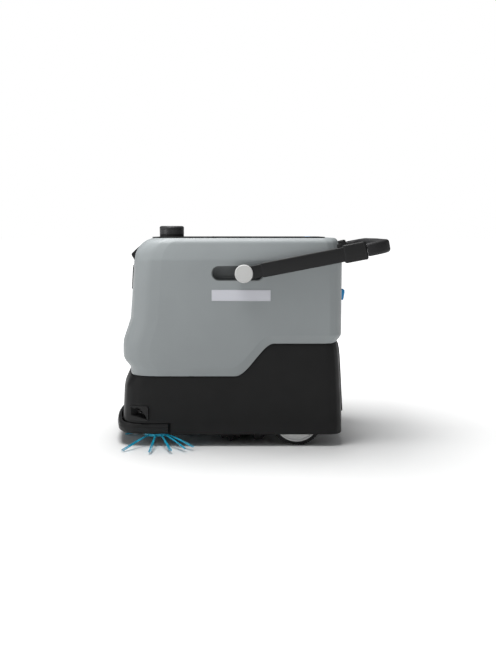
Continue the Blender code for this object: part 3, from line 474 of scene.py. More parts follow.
UPPER = (
    ((545, -200), (541.5, -214), (533, -229), (521, -240.5), (505, -249), (482, -253),
     (450, -255), (394, -259), (327, -264.5), (300, -273.5), (272, -283.5), (258, -285.7),
     (229, -285.7), (221, -283), (204, -268), (184, -266)),
    ((545, 279), (541.5, 283.5), (533, 286.5), (521, 289), (505, 292), (482, 295.5),
     (291, 295.5), (285, 294), (269, 281)),
    ((545, 204), (541.5, 210), (536, 216), (510, 224), (488, 230), (170, 230)),
)
BASE = (
    ((270, -266), (184, -267), (168, -275), (152, -281.7), (136, -284.4), (115, -286),
     (88, -288.4), (26, -288)),
    ((269, 285), (248, 289), (226, 291.5), (173, 294.7), (115, 298), (75, 300.3),
     (51, 299.5), (26, 298)),
    ((269, 220), (180, 222), (30, 222)),
)
NOSE_BOW, REAR_BOW = 0.017, 0.005   # how far the middle of the front and of the rear stand out
FRONT_CORNER = ((6, -31), (20, -15.5), (44, -4.5), (75, 0))
REAR_CORNER = ((-34, 0), (-16, -6), (-5, -21), (0, -45))
GAP = 0.0004                    # between neighbouring pieces
HOUSING_WALL = 0.0035
BAND, BAND_INSET = 0.022, 0.008   # the lip that turns in above the seam
ROOF = 0.545
CLIMB_FROM = 0.32              # below this height the rings follow the seam's climb
LEVEL_FROM, FOOT_FROM = 0.136, 0.088   # the lower housing levels out between these heights
BASE_FOOT = 0.026
BUMPER_FOOT = 0.029
BUMPER_WALL = 0.004
BUMPER_OUT = 0.015             # how far the bumper stands out at the front
# Heights of the rings round the roof's edge in millimetres, closest where it turns over.
ROOF_EDGE = (545, 544.6, 543.9, 543, 542, 541, 539.5, 537.5, 535, 532, 529, 525.5, 521.5, 517,
             512, 507, 501, 496, 492, 490, 488, 486, 484, 479, 472)


def averaged(knots, values, places, windows):
    """Straight lines between the values, with each bend rounded over its own window."""
    knots, values = np.asarray(knots, float), np.asarray(values, float)
    places = np.asarray(places, float)
    reach = np.interp(places, knots, windows)
    total = np.zeros(len(places))
    for k in range(-6, 7):
        total += np.interp(places + reach * k / 6, knots, values) * (1 if abs(k) < 6 else 0.5)
    return total / 12


def table(rows, z, window=0.004):
    """A table's value at one height in metres, its bends a little rounded."""
    heights = [r[0] / 1000 for r in reversed(rows)]
    values = [r[1] / 1000 for r in reversed(rows)]
    reach = min(window, max(heights[-1] - z, 0.0), max(z - heights[0], 0.0))
    return float(averaged(heights, values, [z], [reach] * len(heights))[0])


def seam(x):
    """The height where the two housings meet, which climbs towards the rear."""
    return 0.182 + 0.087 * ease((x - 0.012) / 0.106)


def half_points(front, rear, width):
    """The corners of a half outline: a bowed nose, a chamfered flat side and a bowed rear."""
    points = [(front - NOSE_BOW * (1 - s * s), 0.783 * width * s) for s in spread(0, 1, 4)]
    points += [(front + dx / 1000, width + dy / 1000) for dx, dy in FRONT_CORNER]
    points += [(x, width) for x in (-0.06, 0.08)]
    points += [(rear + dx / 1000, width + dy / 1000) for dx, dy in REAR_CORNER]
    points += [(rear + REAR_BOW * (1 - s * s), (width - 0.045) * s) for s in (0.8, 0.54, 0.27, 0)]
    return points


def knots_of(points):
    lengths = [0.0]
    for a, b in zip(points, points[1:]):
        lengths.append(lengths[-1] + dist(a, b))
    return lengths


KNOTS = knots_of(half_points(-0.27, 0.295, 0.226))
# How far each bend of the outline is rounded: widely at the nose, tightly beside the flat sides.
BENDS = [0.024] * 4 + [0.014, 0.008, 0.008, 0.009, 0.003, 0.0045, 0.0045, 0.003, 0.0045, 0.007,
         0.007, 0.014] + [0.02] * 3
SIDE_CREASES = (8, 11)          # the knots at both ends of the flat side
STEPS_PER_SPAN = (5, 5, 6, 8, 8, 9, 12, 12, 16, 26, 26, 9, 8, 8, 6, 5, 5, 5)
PLACES = sorted(set(
    [a + (b - a) * i / n for a, b, n in zip(KNOTS, KNOTS[1:], STEPS_PER_SPAN) for i in range(n)]
    + [KNOTS[-1]]
    + [KNOTS[k] + step for k in SIDE_CREASES for step in (-0.003, -0.0015, 0.0015, 0.003)]))


def outline_at(tables, z, inset=0.0):
    """The half outline at one height, from the middle of the front round to the rear."""
    points = half_points(table(tables[0], z), table(tables[1], z), table(tables[2], z) - inset)
    # A little of the other half goes on at both ends, so that the rounding runs across the middle.
    mirrored = [(x, -y) for x, y in points]
    points = mirrored[2:0:-1] + points + mirrored[-2:-4:-1]
    knots = [-KNOTS[2], -KNOTS[1]] + KNOTS
    knots += [2 * KNOTS[-1] - KNOTS[-2], 2 * KNOTS[-1] - KNOTS[-3]]
    windows = [BENDS[2], BENDS[1]] + BENDS + [BENDS[-2], BENDS[-3]]
    return list(zip(averaged(knots, [p[0] for p in points], PLACES, windows),
                    averaged(knots, [p[1] for p in points], PLACES, windows)))


# The X of each place on an outline, near enough for finding a climbing ring's heights.
GUIDE = [x for x, _ in outline_at(BASE, 0.2)]


def whole(half):
    return half + [(x, -y, z) for x, y, z in reversed(half[1:-1])]


def level_ring(tables, z, inset=0.0):
    return whole([(x, y, z) for x, y in outline_at(tables, z, inset)])


def climbing_ring(tables, height_at, inset=0.0):
    """A ring whose height depends on X."""
    outlines = {}
    half = []
    for i, x in enumerate(GUIDE):
        z = height_at(x)
        key = round(z, 6)
        if key not in outlines:
            outlines[key] = outline_at(tables, z, inset)
        half.append((*outlines[key][i], z))
    return whole(half)


def upper_skin():
    """The outside of the grey housing, from the roof down to the seam."""
    rings = [level_ring(UPPER, ROOF, 0.01), level_ring(UPPER, ROOF, 0.0012)]
    rings += [level_ring(UPPER, z / 1000) for z in ROOF_EDGE]
    rings += [level_ring(UPPER, z) for z in spread(0.458, 0.326, 11)]

    def band_start(x):
        return seam(x + 0.01) + BAND

    for share in spread(0, 1, 16):
        rings.append(climbing_ring(
            UPPER, lambda x: CLIMB_FROM + (band_start(x) + 0.0004 - CLIMB_FROM) * share))
    for share in (0.03, 0.08, 0.25, 0.5, 0.75, 0.93, 1.0):
        rings.append(climbing_ring(
            UPPER, lambda x: band_start(x) + (seam(x) + GAP - band_start(x)) * share,
            BAND_INSET * share))
    return loft(rings, caps=(True, False))


def bumper_top(y):
    """The height of the bumper's top edge, which is lower round the corners."""
    return 0.061 - 0.005 * ease((abs(y) - 0.12) / 0.1)


def base_skin():
    """The outside of the black housing, from the seam down to the foot behind the bumper."""
    rings = []
    for share in (0, 0.012, *spread(0.04, 1, 12)):
        inset = 0.001 * max(0, 1 - share / 0.03)
        rings.append(climbing_ring(
            BASE, lambda x: seam(x) - GAP + (LEVEL_FROM - seam(x)) * share, inset))
    for share in (0.15, 0.3, 0.45, 0.6, 0.75, 0.9, 1.0):
        outline = level_ring(BASE, LEVEL_FROM + (FOOT_FROM - LEVEL_FROM) * share)
        rings.append([(x, y, LEVEL_FROM + (bumper_top(y) - LEVEL_FROM) * share)
                      for x, y, _ in outline])
    foot_outline = level_ring(BASE, FOOT_FROM)
    for height_at in (lambda y: bumper_top(y) - 0.001, lambda y: BASE_FOOT):
        ring = []
        for x, y, _ in foot_outline:
            step = 0.0 if abs(y) < 0.15 else 0.008 * ease((-0.158 - x) / 0.004)
            ring.append((x, y - copysign(step, y), height_at(y)))
        rings.append(ring)
    return loft(rings, caps=(False, False))


SLOT_LINER_LOW, SLOT_LINER_HIGH = cad("slot_liner_right")
SLOT_Z = (SLOT_LINER_LOW.z + SLOT_LINER_HIGH.z) / 2
SLOT_HALF = (SLOT_LINER_HIGH.z - SLOT_LINER_LOW.z) / 2 + GAP
SLOT_X = (SLOT_LINER_LOW.x - GAP + SLOT_HALF, SLOT_LINER_HIGH.x + GAP - SLOT_HALF)
WEDGE_CUT = ((-0.29, 0.5045), (-0.2462, 0.5278), (-0.2235, 0.5052), (-0.2581, 0.4728),
             (-0.275, 0.4728))
LIDAR_AT = middle("lidar_head")
BUTTON = middle("power_button")

shell = worked(upper_skin(), ("SOLIDIFY", {"thickness": HOUSING_WALL, "offset": -1.0}))
shell = without(
    shell,
    joined(
        soft_box((-0.045, -0.105, 0.53), (0.045, 0.105, 0.56), 0.004),  # the tank's opening
        soft_box((-0.0585, -0.119, 0.5436), (-0.051, 0.119, 0.56), 0.0004, 1),  # its hinge
        drum(0.0096, 0.56, 0.53, start=(BUTTON.x, 0, 0)),
        drum(0.02, 0.56, 0.53, start=(LIDAR_AT.x, 0, 0)),
        both(soft_slab(stadium(SLOT_HALF, *SLOT_X, SLOT_Z), 0.195, 0.245)),
        soft_slab(WEDGE_CUT, -0.0955, 0.0955),  # the camera's housing
        soft_box((0.27, -0.14, 0.292), (0.312, 0.14, 0.478), 0.0045),  # the drawer
    ),
)
piece("upper_housing", shell, "grey_shell", "chassis", "top_shell", 28)

SENSOR_AT = (Matrix.Translation((-0.2415, -0.2125, 0.082))
             @ Matrix.Rotation(radians(-17.8), 4, "Z"))
lower = worked(base_skin(), ("SOLIDIFY", {"thickness": HOUSING_WALL, "offset": -1.0}))
sensor_hole = moved(soft_slab(round_rect(-0.027, 0.027, -0.02, 0.02, 0.006), -0.02, 0.02),
                    SENSOR_AT)
lug_holes = both(soft_box((-0.32, 0.056, 0.03), (-0.28, 0.084, 0.0435), 0.002))
lower = without(lower, joined(both(sensor_hole), lug_holes))
piece("lower_housing", lower, "black_shell", "chassis", "base_shell", 30)


# ---- bumper, corner sensors and nose ----

BUMPER_PATH_Z = 0.06
BUMPER_FLAT = -0.2            # behind this the bumper lies flush along the sides
TOP_ROUND, FOOT_ROUND = 0.007, 0.006


def bumper_reach(x):
    """How far the bumper stands out beyond the lower housing."""
    return BUMPER_OUT * ease((BUMPER_FLAT - x) / 0.07)


def bumper_skin():
    """A strip swept round the nose, its outer edges rounded and its ends square."""
    half = [p for p in outline_at(BASE, BUMPER_PATH_Z) if p[0] < BUMPER_FLAT]
    half += [(x, 0.222) for x in (-0.196, -0.19, -0.182, -0.174, -0.166)]
    path = [(x, -y) for x, y in reversed(half[1:])] + half
    path = [(x - bumper_reach(x), y) for x, y in path]
    rings = []
    for i, (x, y) in enumerate(path):
        before, after = Vector(path[max(i - 1, 0)]), Vector(path[min(i + 1, len(path) - 1)])
        along = (after - before).normalized()
        out = Vector((-along.y, along.x))
        if out.dot(Vector((x + 0.15, y))) < 0:
            out = -out
        top = bumper_top(y) - 0.0018
        share = bumper_reach(x) / BUMPER_OUT
        over = 0.0015 + 0.0045 * share
        inner = -BUMPER_WALL - 0.0055 * share
        height = (top - BUMPER_FOOT) / 2
        centre = (top + BUMPER_FOOT) / 2
        section = [(inner, top)]
        section += [(over * (sin(a) - 1), top + TOP_ROUND * (cos(a) - 1))
                    for a in (0, 0.35, 0.7, 1.05, 1.35)]
        section += [(0.001 * (1 - (k / 4) ** 2), centre + (height - 0.009) * k / 4)
                    for k in (4, 2, 0, -2, -4)]
        section += [(over * (cos(a) - 1), BUMPER_FOOT + FOOT_ROUND * (1 - sin(a)))
                    for a in (0.25, 0.6, 0.95, 1.3, 1.57)]
        section.append((inner, BUMPER_FOOT))
        rings.append([(x + out.x * o, y + out.y * o, z) for o, z in section])
    return loft(rings)


# The sill is a thin ledge of the chassis, which closes the gap under the bumper's inner edge.
SILL_DEPTH = 0.016
sill = [(0.99 * (x - bumper_reach(x) * 0.75), 0.985 * y)
        for x, y in outline_at(BASE, BUMPER_PATH_Z) if x < -0.225]
sill = [(x, -y) for x, y in reversed(sill[1:])] + sill
sill += [(x + SILL_DEPTH, y * 0.93) for x, y in reversed(sill)]
sill = soft_slab(sill, BASE_FOOT + 0.0004, BUMPER_FOOT - 0.0003, 0.0004, axis="Z")
piece("bumper_sill", sill, "black_shell", "chassis", angle=40)
lug = soft_box((-0.315, 0.058, 0.0365), (-0.262, 0.082, 0.0425), 0.001)
piece("bumper_strip", united(bumper_skin(), both(lug)), "dark_trim", "bumper", "front_bumper", 40)

cup = soft_slab(round_rect(-0.0266, 0.0266, -0.0196, 0.0196, 0.0056), -0.0065, 0.016, 0.0012)
# The hollow is tall at the front and drawn down to a point at the rear; it narrows to its throat.
HORN = ((-0.0225, -0.006), (-0.004, -0.0095), (0.0235, -0.0165), (0.0215, -0.0075),
        (0.005, 0.012), (-0.005, 0.0158), (-0.011, 0.012), (-0.0225, 0.0155))
throat = [(x * 0.4 - 0.002, z * 0.4) for x, z in HORN]
recess = loft([[(x * 1.02, -0.0078, z * 1.02) for x, z in HORN],
               [(x, -0.005, z) for x, z in HORN],
               [(x, 0.0115, z) for x, z in throat]])
eye = lathe(((0, -0.0036), (0.0022, -0.003), (0.0036, -0.0012), (0.0038, 0.0), (0, 0.0)), "Y",
            32, start=(-0.002, 0.0116, 0))
cup = without(cup, recess)
for side, flip in (("left", Matrix()), ("right", MIRROR)):
    piece("sensor_bezel_" + side, moved(cup, flip @ SENSOR_AT), "dark_trim", "chassis",
          "corner_sensor_" + side, 25)
    piece("sensor_eye_" + side, moved(eye, flip @ SENSOR_AT), "black_glass", "chassis")

LENS_WEDGE = ((-0.274, 0.501), (-0.246, 0.527), (-0.225, 0.505), (-0.258, 0.474))
wedge = softened([(x, z, 0) for x, z in LENS_WEDGE], 0.005, 4, closed=True)
wedge = soft_slab([(p.x, p.y) for p in wedge], -0.0948, 0.0948, 0.0012)
FACE_AT = (Matrix.Translation((-0.266, 0, 0.4875))
           @ Matrix.Rotation(pi / 2 - atan2(0.016, 0.027), 4, "Y"))
tray = moved(soft_slab(round_rect(-0.0095, 0.0095, -0.0565, 0.0565, 0.0075), -0.006, -0.0004,
                       axis="Z"), FACE_AT)
piece("camera_hood", without(wedge, tray), "black_shell", "chassis", "camera_housing", 25)
glass = soft_slab(round_rect(-0.008, 0.008, -0.055, 0.055, 0.006), -0.0023, -0.0005, 0.0005,
                  axis="Z")
piece("camera_glass", moved(glass, FACE_AT), "black_glass", "chassis", "camera_window", 25)
lens = lathe(((0.0036, -0.0004), (0.0062, -0.0004), (0.0062, -0.0009), (0.0052, -0.0013),
              (0.0042, -0.0013), (0.0036, -0.0008)), "Z", 40, start=(0, 0.03, -0.0024))
piece("lens_rings", moved(both(lens), FACE_AT), "aluminium", "chassis")


def patch(rows, span, reach_y, low, high, inner, outer, front, count=32, levels=24):
    """A plate that follows the front or the rear of a housing, between two offsets."""
    sign = -1 if front else 1
    rings = []
    for z in spread(low, high, levels):
        lines = []
        for offset in (outer, inner):
            line = []
            for y in spread(-reach_y, reach_y, count):
                bow = (1 - (y / span) ** 2) * (-NOSE_BOW if front else REAR_BOW)
                line.append((table(rows, z) + bow + sign * offset, y, z))
            lines.append(line)
        rings.append(lines[0] + lines[1][::-1])
    return loft(rings)


def trimmed(mesh, low, high, radius):
    """The part of a plate inside a frame with rounded corners."""
    return combined("INTERSECT", mesh, [soft_box(low, high, radius, 4)])


fascia = patch(UPPER[0], 0.18, 0.092, 0.403, 0.472, 0.0007, 0.0027, True)
fascia = trimmed(fascia, (-0.33, -0.09, 0.405), (-0.2, 0.09, 0.47), 0.008)
piece("nose_window", fascia, "black_glass", "chassis", "front_fascia", 30)

# ---- rear ----

REAR_SPAN = 0.176
cover = patch(BASE[1], REAR_SPAN, 0.152, 0.072, 0.263, 0.0006, 0.003, False, 40, 40)
cover = trimmed(cover, (0.25, -0.15, 0.074), (0.35, 0.15, 0.261), 0.01)
vents = [soft_box((0.27, -0.055, z), (0.33, 0.055, z + 0.0036), 0.0017)
         for z in spread(0.15, 0.2, 5)]
cover = without(cover, joined(*vents))
piece("service_cover", cover, "dark_trim", "chassis", "rear_cover", 30)


def screw_head(radius, height):
    """A pan head with a six-sided socket, facing along +Z."""
    head = lathe(((0, height * 0.85), (radius * 0.75, height * 0.8), (radius, height * 0.3),
                  (radius, 0), (0, 0)), "Z", 32, 0.0002)
    socket = soft_slab([(radius * 0.42 * cos(tau * i / 6),
                         radius * 0.42 * sin(tau * i / 6)) for i in range(6)],
                       height * 0.35, height * 1.5, axis="Z")
    return without(head, socket)


def facing(direction, place):
    """A seat at a place, whose Z looks in a direction."""
    turn = Vector(direction).to_track_quat("Z", "Y").to_matrix().to_4x4()
    return Matrix.Translation(place) @ turn


def rear_x(rows, y, z):
    """Where the rear of a housing lies, with its bow."""
    return table(rows, z) + REAR_BOW * (1 - (y / REAR_SPAN) ** 2)


head = screw_head(0.0036, 0.0007)
cover_screws = [moved(head, facing((1, 0, 0), (rear_x(BASE[1], y, z) + 0.003, y, z)))
                for y in (-0.134, 0.134) for z in (0.09, 0.245)]
piece("cover_screws", joined(*cover_screws), "dark_screw", "chassis")

drawer = patch(UPPER[1], 0.185, 0.141, 0.29, 0.48, -HOUSING_WALL, -0.0001, False, 40, 24)
drawer = trimmed(drawer, (0.25, -0.1388, 0.2933), (0.35, 0.1388, 0.477), 0.0042)
drawer = without(drawer, soft_box((0.299, -0.06, 0.43), (0.311, 0.06, 0.458), 0.0008))
piece("drawer_front", drawer, "grey_shell", "drawer", "drawer_face", 28)

latch_low, latch_high = cad("drawer_latch")
LATCH_PIVOT = (0.3022, latch_high.z - 0.0024)
paddle = arc((0, 0), 0.0024, 180, 90, 6)
paddle += [(0.004, 0.0023), (0.0056, 0.0016), (0.0062, 0.0002), (0.0062, -0.006),
           (0.005, -0.013), (0.004, -0.02), (0.0026, -0.0258), (0.0016, -0.0262),
           (-0.0024, -0.0262)]
paddle = [(LATCH_PIVOT[0] + x, LATCH_PIVOT[1] + z) for x, z in paddle]
paddle = soft_slab(paddle, latch_low.y, latch_high.y, 0.0007, steps=3)
piece("latch_paddle", paddle, "blue_trim", "latch", "drawer_latch", 30)

# ---- top ----

panel_low, panel_high = cad("top_panel")
panel = soft_slab(round_rect(panel_low.x, panel_high.x, panel_low.y, panel_high.y, 0.03, 12),
                  0.5454, 0.548, 0.0007, axis="Z", steps=3)


def deck_slab(half_x, half_y, radius, low, high, steps=6):
    """A flat block centred on the tank's opening."""
    return soft_slab(round_rect(-half_x, half_x, -half_y, half_y, radius, steps), low, high,
                     axis="Z")


THROUGH = (0.54, 0.56)
GROOVE_FOOT = 0.5474
panel = without(
    panel,
    deck_slab(0.058, 0.118, 0.0012, *THROUGH, 3),
    soft_slab(arc((BUTTON.x, 0), 0.0095, 0, 345, 23), *THROUGH, axis="Z"),
    without(deck_slab(0.0655, 0.1255, 0.01, GROOVE_FOOT, 0.55),
            deck_slab(0.064, 0.124, 0.0085, 0.547, 0.56)),
    soft_box((0.108, -0.13, GROOVE_FOOT), (0.1095, 0.13, 0.55), 0.0003, 1),
)
LIDAR_R = 0.0344
lidar_foot = drum(LIDAR_R - 0.0004, 0.55455, 0.547, "Z", 96, 0.0002, (LIDAR_AT.x, 0, 0))
PIN = middle("hinge_pin")
pin_bore = drum(0.0008, 0.1225, -0.1225, "Y", 24, start=(PIN.x, 0, PIN.z))
panel = without(united(panel, lidar_foot), pin_bore)
piece("deck_panel", panel, "dark_trim", "chassis", "top_panel", 30)

LID_REAR = cad("tank_lid")[1].x
lid = soft_slab(round_rect(PIN.x - 0.0019, LID_REAR, -0.117, 0.117, 0.0015, 3), 0.5455, 0.5483,
                0.0006, axis="Z", steps=3)
scoop = lathe(((0, 0.0062), (0.02, 0.0062), (0.026, 0.0), (0, -0.0005)), "Z", 64,
              start=(0.04, 0, 0.5473))
knuckle = drum(0.0021, 0.1166, -0.1166, "Y", 40, 0.0003, (PIN.x, 0, PIN.z))
lid = without(united(without(lid, scoop), knuckle), pin_bore)
piece("water_lid", lid, "dark_trim", "lid", "tank_lid", 30)

BUTTON_FOOT = cad("power_button")[0].z
button = lathe(((0, 0.003), (0.003, 0.0029), (0.0066, 0.0033), (0.0082, 0.0034),
                (0.009, 0.0028), (0.009, 0), (0, 0)), "Z", 64, 0.0004,
               start=(BUTTON.x, 0, BUTTON_FOOT))
piece("power_key", button, "blue_trim", "power_button", "power_button", 40)

LIDAR_SEAT = (LIDAR_AT.x, 0, cad("lidar_head")[0].z)
turret = lathe(((0, 0.0226), (0.01, 0.0226), (0.0104, 0.0222), (0.0112, 0.0222),
                (0.0116, 0.0228), (0.029, 0.0234), (0.0325, 0.0222), (LIDAR_R, 0.019),
                (LIDAR_R, 0.014), (0.0338, 0.0136), (0.0338, 0), (0, 0)), "Z", 120, 0.0002,
               start=LIDAR_SEAT)
piece("lidar_turret", turret, "turret", "lidar", "lidar_head", 35)
band = lathe(((0.0336, 0.0002), (0.0343, 0.0003), (0.0343, 0.0134), (0.0336, 0.0135)), "Z", 120,
             start=LIDAR_SEAT)
piece("lidar_band", band, "turret_band", "lidar", angle=35)


# ---- handle ----

pivot_at = middle("pivot_button_left")
extend = next(j for j in frame["joints"] if j["name"] == "grip_extend")
RISE = atan2(extend["axis"][2], extend["axis"][0])
# The handle is shaped lying level, with its pivot at the origin, then tilted into its place.
TILT = Matrix.Translation((pivot_at.x, 0, pivot_at.z)) @ Matrix.Rotation(-RISE, 4, "Y")
ARM_Y = (0.237, 0.259)
ARM_MID = sum(ARM_Y) / 2

slot_tube = soft_slab(stadium(SLOT_HALF - GAP, *SLOT_X, SLOT_Z), 0.206, 0.2294, 0.0006)
slot_tube = without(
    slot_tube,
    soft_slab(stadium(SLOT_HALF - 0.0023, *SLOT_X, SLOT_Z), 0.209, 0.235),
    soft_slab(stadium(0.0096, *SLOT_X, SLOT_Z), 0.2, 0.215),
)
shutter = soft_box((pivot_at.x - 0.122, 0.201, pivot_at.z - 0.013),
                   (pivot_at.x + 0.122, 0.205, pivot_at.z + 0.013), 0.0008)
shaft = lathe(((0, 0.247), (0.0082, 0.247), (0.009, 0.2462), (0.009, 0.2), (0, 0.2)),
              "Y", 48, start=(pivot_at.x, 0, pivot_at.z))

arm = soft_box((0.0465, ARM_Y[0], -0.019), (0.3, ARM_Y[1], 0.019), 0.0034, 4)
neck = soft_box((0.004, 0.2385, -0.0165), (0.0505, 0.2575, 0.0165), 0.0024, 3)
relief = drum(0.0245, 0.27, 0.2538, "Y")
hub = drum(0.02, 0.254, 0.236, "Y", 72, 0.0008)
sleeve = soft_box((0.262, 0.2348, -0.0235), (0.3225, 0.2612, 0.0235), 0.0046, 4)
collar = soft_box((0.315, 0.2342, -0.0238), (0.3186, 0.2618, 0.0238), 0.0012, 2)
bore = drum(0.0093, 0.2492, 0.23, "Y", 48)
stem_bore = drum(0.0054, 0.26, 0.245, "Y", 32)
hollow = soft_box((0.0545, ARM_MID - 0.008, -0.016), (0.3325, ARM_MID + 0.008, 0.016), 0.0015)
knob_hole = soft_box((0.248, 0.2425, 0.01), (0.26, 0.2535, 0.03), 0.0006)
arm = united(arm, neck)
arm = without(arm, relief)
arm = united(arm, hub, sleeve, collar)
arm = without(arm, bore, stem_bore, hollow, knob_hole)

cap = lathe(((0, 0.005), (0.017, 0.0052), (0.0182, 0.00505), (0.0188, 0.0046),
             (0.0194, 0.00505), (0.022, 0.005), (0.0228, 0.004), (0.0237, 0.0003),
             (0.0234, 0.0), (0, 0.0)), "Y", 120, 0.0004, start=(0, 0.2578, 0))
cap = united(cap, drum(0.005, 0.26, 0.251, "Y", 32))
KNOB_X = (0.2486, 0.2594)
ridges = [(KNOB_X[0], 0.0186), (KNOB_X[0], 0.0272)]
for i in range(4):
    x = KNOB_X[0] + 0.0027 * i
    ridges += [(x + 0.0007, 0.029), (x + 0.002, 0.029), (x + 0.0027, 0.0278)]
ridges[-1] = (KNOB_X[1], 0.0272)
ridges.append((KNOB_X[1], 0.0186))
knob = soft_slab(ridges, 0.2431, 0.2529, 0.0004, steps=1)

# Each row: piece, shape, seat, look, body, CAD node, and the angle from which an edge is sharp.
# A button's body has the name of its node.
HANDLE_PIECES = (
    # The slot's guide and shutter wear the grey moulding darkened with painted shade.
    ("slot_guide_", slot_tube, Matrix(), "shaded_slot_grey", "chassis", "slot_liner_", 30),
    ("slot_shutter_", shutter, Matrix(), "shaded_slot_grey", "handle_carriage", "handle_slider_", 30),
    ("pivot_shaft_", shaft, Matrix(), "steel", "handle_carriage", "handle_slider_", 40),
    ("arm_", arm, TILT, "dark_trim", "handle", "handle_arm_", 30),
    ("pivot_cap_", cap, TILT, "light_cap", None, "pivot_button_", 40),
    ("release_knob_", knob, TILT, "dark_trim", None, "grip_release_", 30),
)
for side, flip in (("left", MIRROR), ("right", Matrix())):
    for name, mesh, seat, look, body, node, angle in HANDLE_PIECES:
        piece(name + side, moved(mesh, seat @ flip), look, body or node + side, node + side, angle)

GRIP_X, GRIP_CORNER = 0.372, 0.04


def grip_path(start):
    """The grip's line in plan, from one arm round the crossbar to the other arm."""
    corner = (GRIP_X - GRIP_CORNER, ARM_MID - GRIP_CORNER)
    half = [(x, ARM_MID) for x in spread(start, 0.3315, 4)[:-1]]
    half += arc(corner, GRIP_CORNER, 90, 0, 22)
    half += [(GRIP_X + 0.003 * ease((ARM_MID - GRIP_CORNER - y) / 0.209), y)
             for y in spread(0.206, 0.0, 62)]
    return half + [(x, -y) for x, y in reversed(half[:-1])]


def swept(path, section_at):
    """A bar along a path in plan; section_at(i, y) gives its section at each point."""
    rings = []
    for i, (x, y) in enumerate(path):
        back = Vector(path[max(i - 1, 0)])
        ahead = Vector(path[min(i + 1, len(path) - 1)])
        along = (ahead - back).normalized()
        across = Vector((along.y, -along.x))
        rings.append([(x + across.x * a, y + across.y * a, z) for a, z in section_at(i, y)])
    return loft(rings)


COVER_START = 0.3235
COVER_PATH = grip_path(COVER_START)


def cover_section(i, y):
    """The grip's rubber cover: a soft rectangle, with shallow ribs along the crossbar."""
    rib = 0.0 if abs(y) > 0.15 else 0.00055 * (0.5 - 0.5 * cos(tau * y / 0.0133))
    from_end = min(i, len(COVER_PATH) - 1 - i)
    lip = 0.0012 * max(0.0, 1 - from_end / 1.5)
    w, h = 0.016 - rib - lip, 0.017 - rib - lip
    return round_rect(-w, w, -h, h, 0.0085, 5)


def steady(half_width, half_height, radius):
    """A section that stays the same all along the path."""
    outline = round_rect(-half_width, half_width, -half_height, half_height, radius, 2)
    return lambda i, y: outline


grip_core = swept(grip_path(COVER_START - 0.01), steady(0.0078, 0.0154, 0.0012))
grip_cover = without(swept(COVER_PATH, cover_section), grip_core)
piece("grip_cover", moved(grip_cover, TILT), "rubber", "grip", "handle_grip", 30)
grip_bar = swept(grip_path(0.085), steady(0.0074, 0.015, 0.0014))
piece("grip_bar", moved(grip_bar, TILT), "aluminium", "grip", "grip_frame", 30)

# ---- plain badge plate, with nothing on it ----

BADGE = (-0.048, 0.106, 0.382, 0.411)


def badge_slab(inset, corner, y0, y1, radius=0.0):
    """A slab of the badge's outline, taken in by an inset."""
    x0, x1, z0, z1 = BADGE
    outline = round_rect(x0 + inset, x1 - inset, z0 + inset, z1 - inset, corner, 3)
    return soft_slab(outline, y0, y1, radius)


line = without(badge_slab(0.002, 0.001, -0.24, -0.23075), badge_slab(0.0026, 0.0006, -0.25, -0.22))
plate = without(badge_slab(0, 0.0012, -0.231, -0.2298, 0.0003), line)
piece("badge_left", plate, "badge", "chassis", angle=30)
half_turn = Matrix.Translation((BADGE[0] + BADGE[1], 0, 0)) @ Matrix.Rotation(pi, 4, "Z")
piece("badge_right", moved(plate, half_turn), "badge", "chassis", angle=30)

# ---- drive wheels ----

WHEEL = middle("tyre_left")
WHEEL_OUT = -cad("wheel_disc_left")[0].y
WHEEL_R, RIM_R = 0.07, 0.0605
TREAD_HEIGHTS = (0.004, 0.0062, 0.0064, 0.0086, 0.0088, 0.014, 0.015, 0.017, 0.018, 0.0232,
                 0.0234, 0.0256, 0.0258, 0.028)
tyre_outline = [(RIM_R + 0.0006, 0.0008), (0.065, 0.0), (WHEEL_R - 0.0022, 0.0006),
                (WHEEL_R - 0.0004, 0.0026)]
tyre_outline += [(WHEEL_R, height) for height in TREAD_HEIGHTS]
tyre_outline += [(WHEEL_R - 0.0004, 0.0296), (WHEEL_R - 0.002, 0.0314), (0.065, 0.032),
                 (RIM_R + 0.0006, 0.0314)]
BOLTS = 6
TREAD_BLOCKS = 60
GROOVES = ((0.0063, 0.0087), (0.0149, 0.0171), (0.0233, 0.0257))


def tread(angle, radius, height):
    """Blocks of tread: three grooves round the tyre, and a slanted cut between blocks."""
    if radius < WHEEL_R - 0.0005:
        return radius
    if any(a <= height <= b for a, b in GROOVES):
        return radius - 0.002
    slant = 0.35 * abs(height - 0.016) / 0.016
    phase = (angle / tau * TREAD_BLOCKS + slant) % 1.0
    return radius - (0.0015 if phase < 0.2 else 0.0)


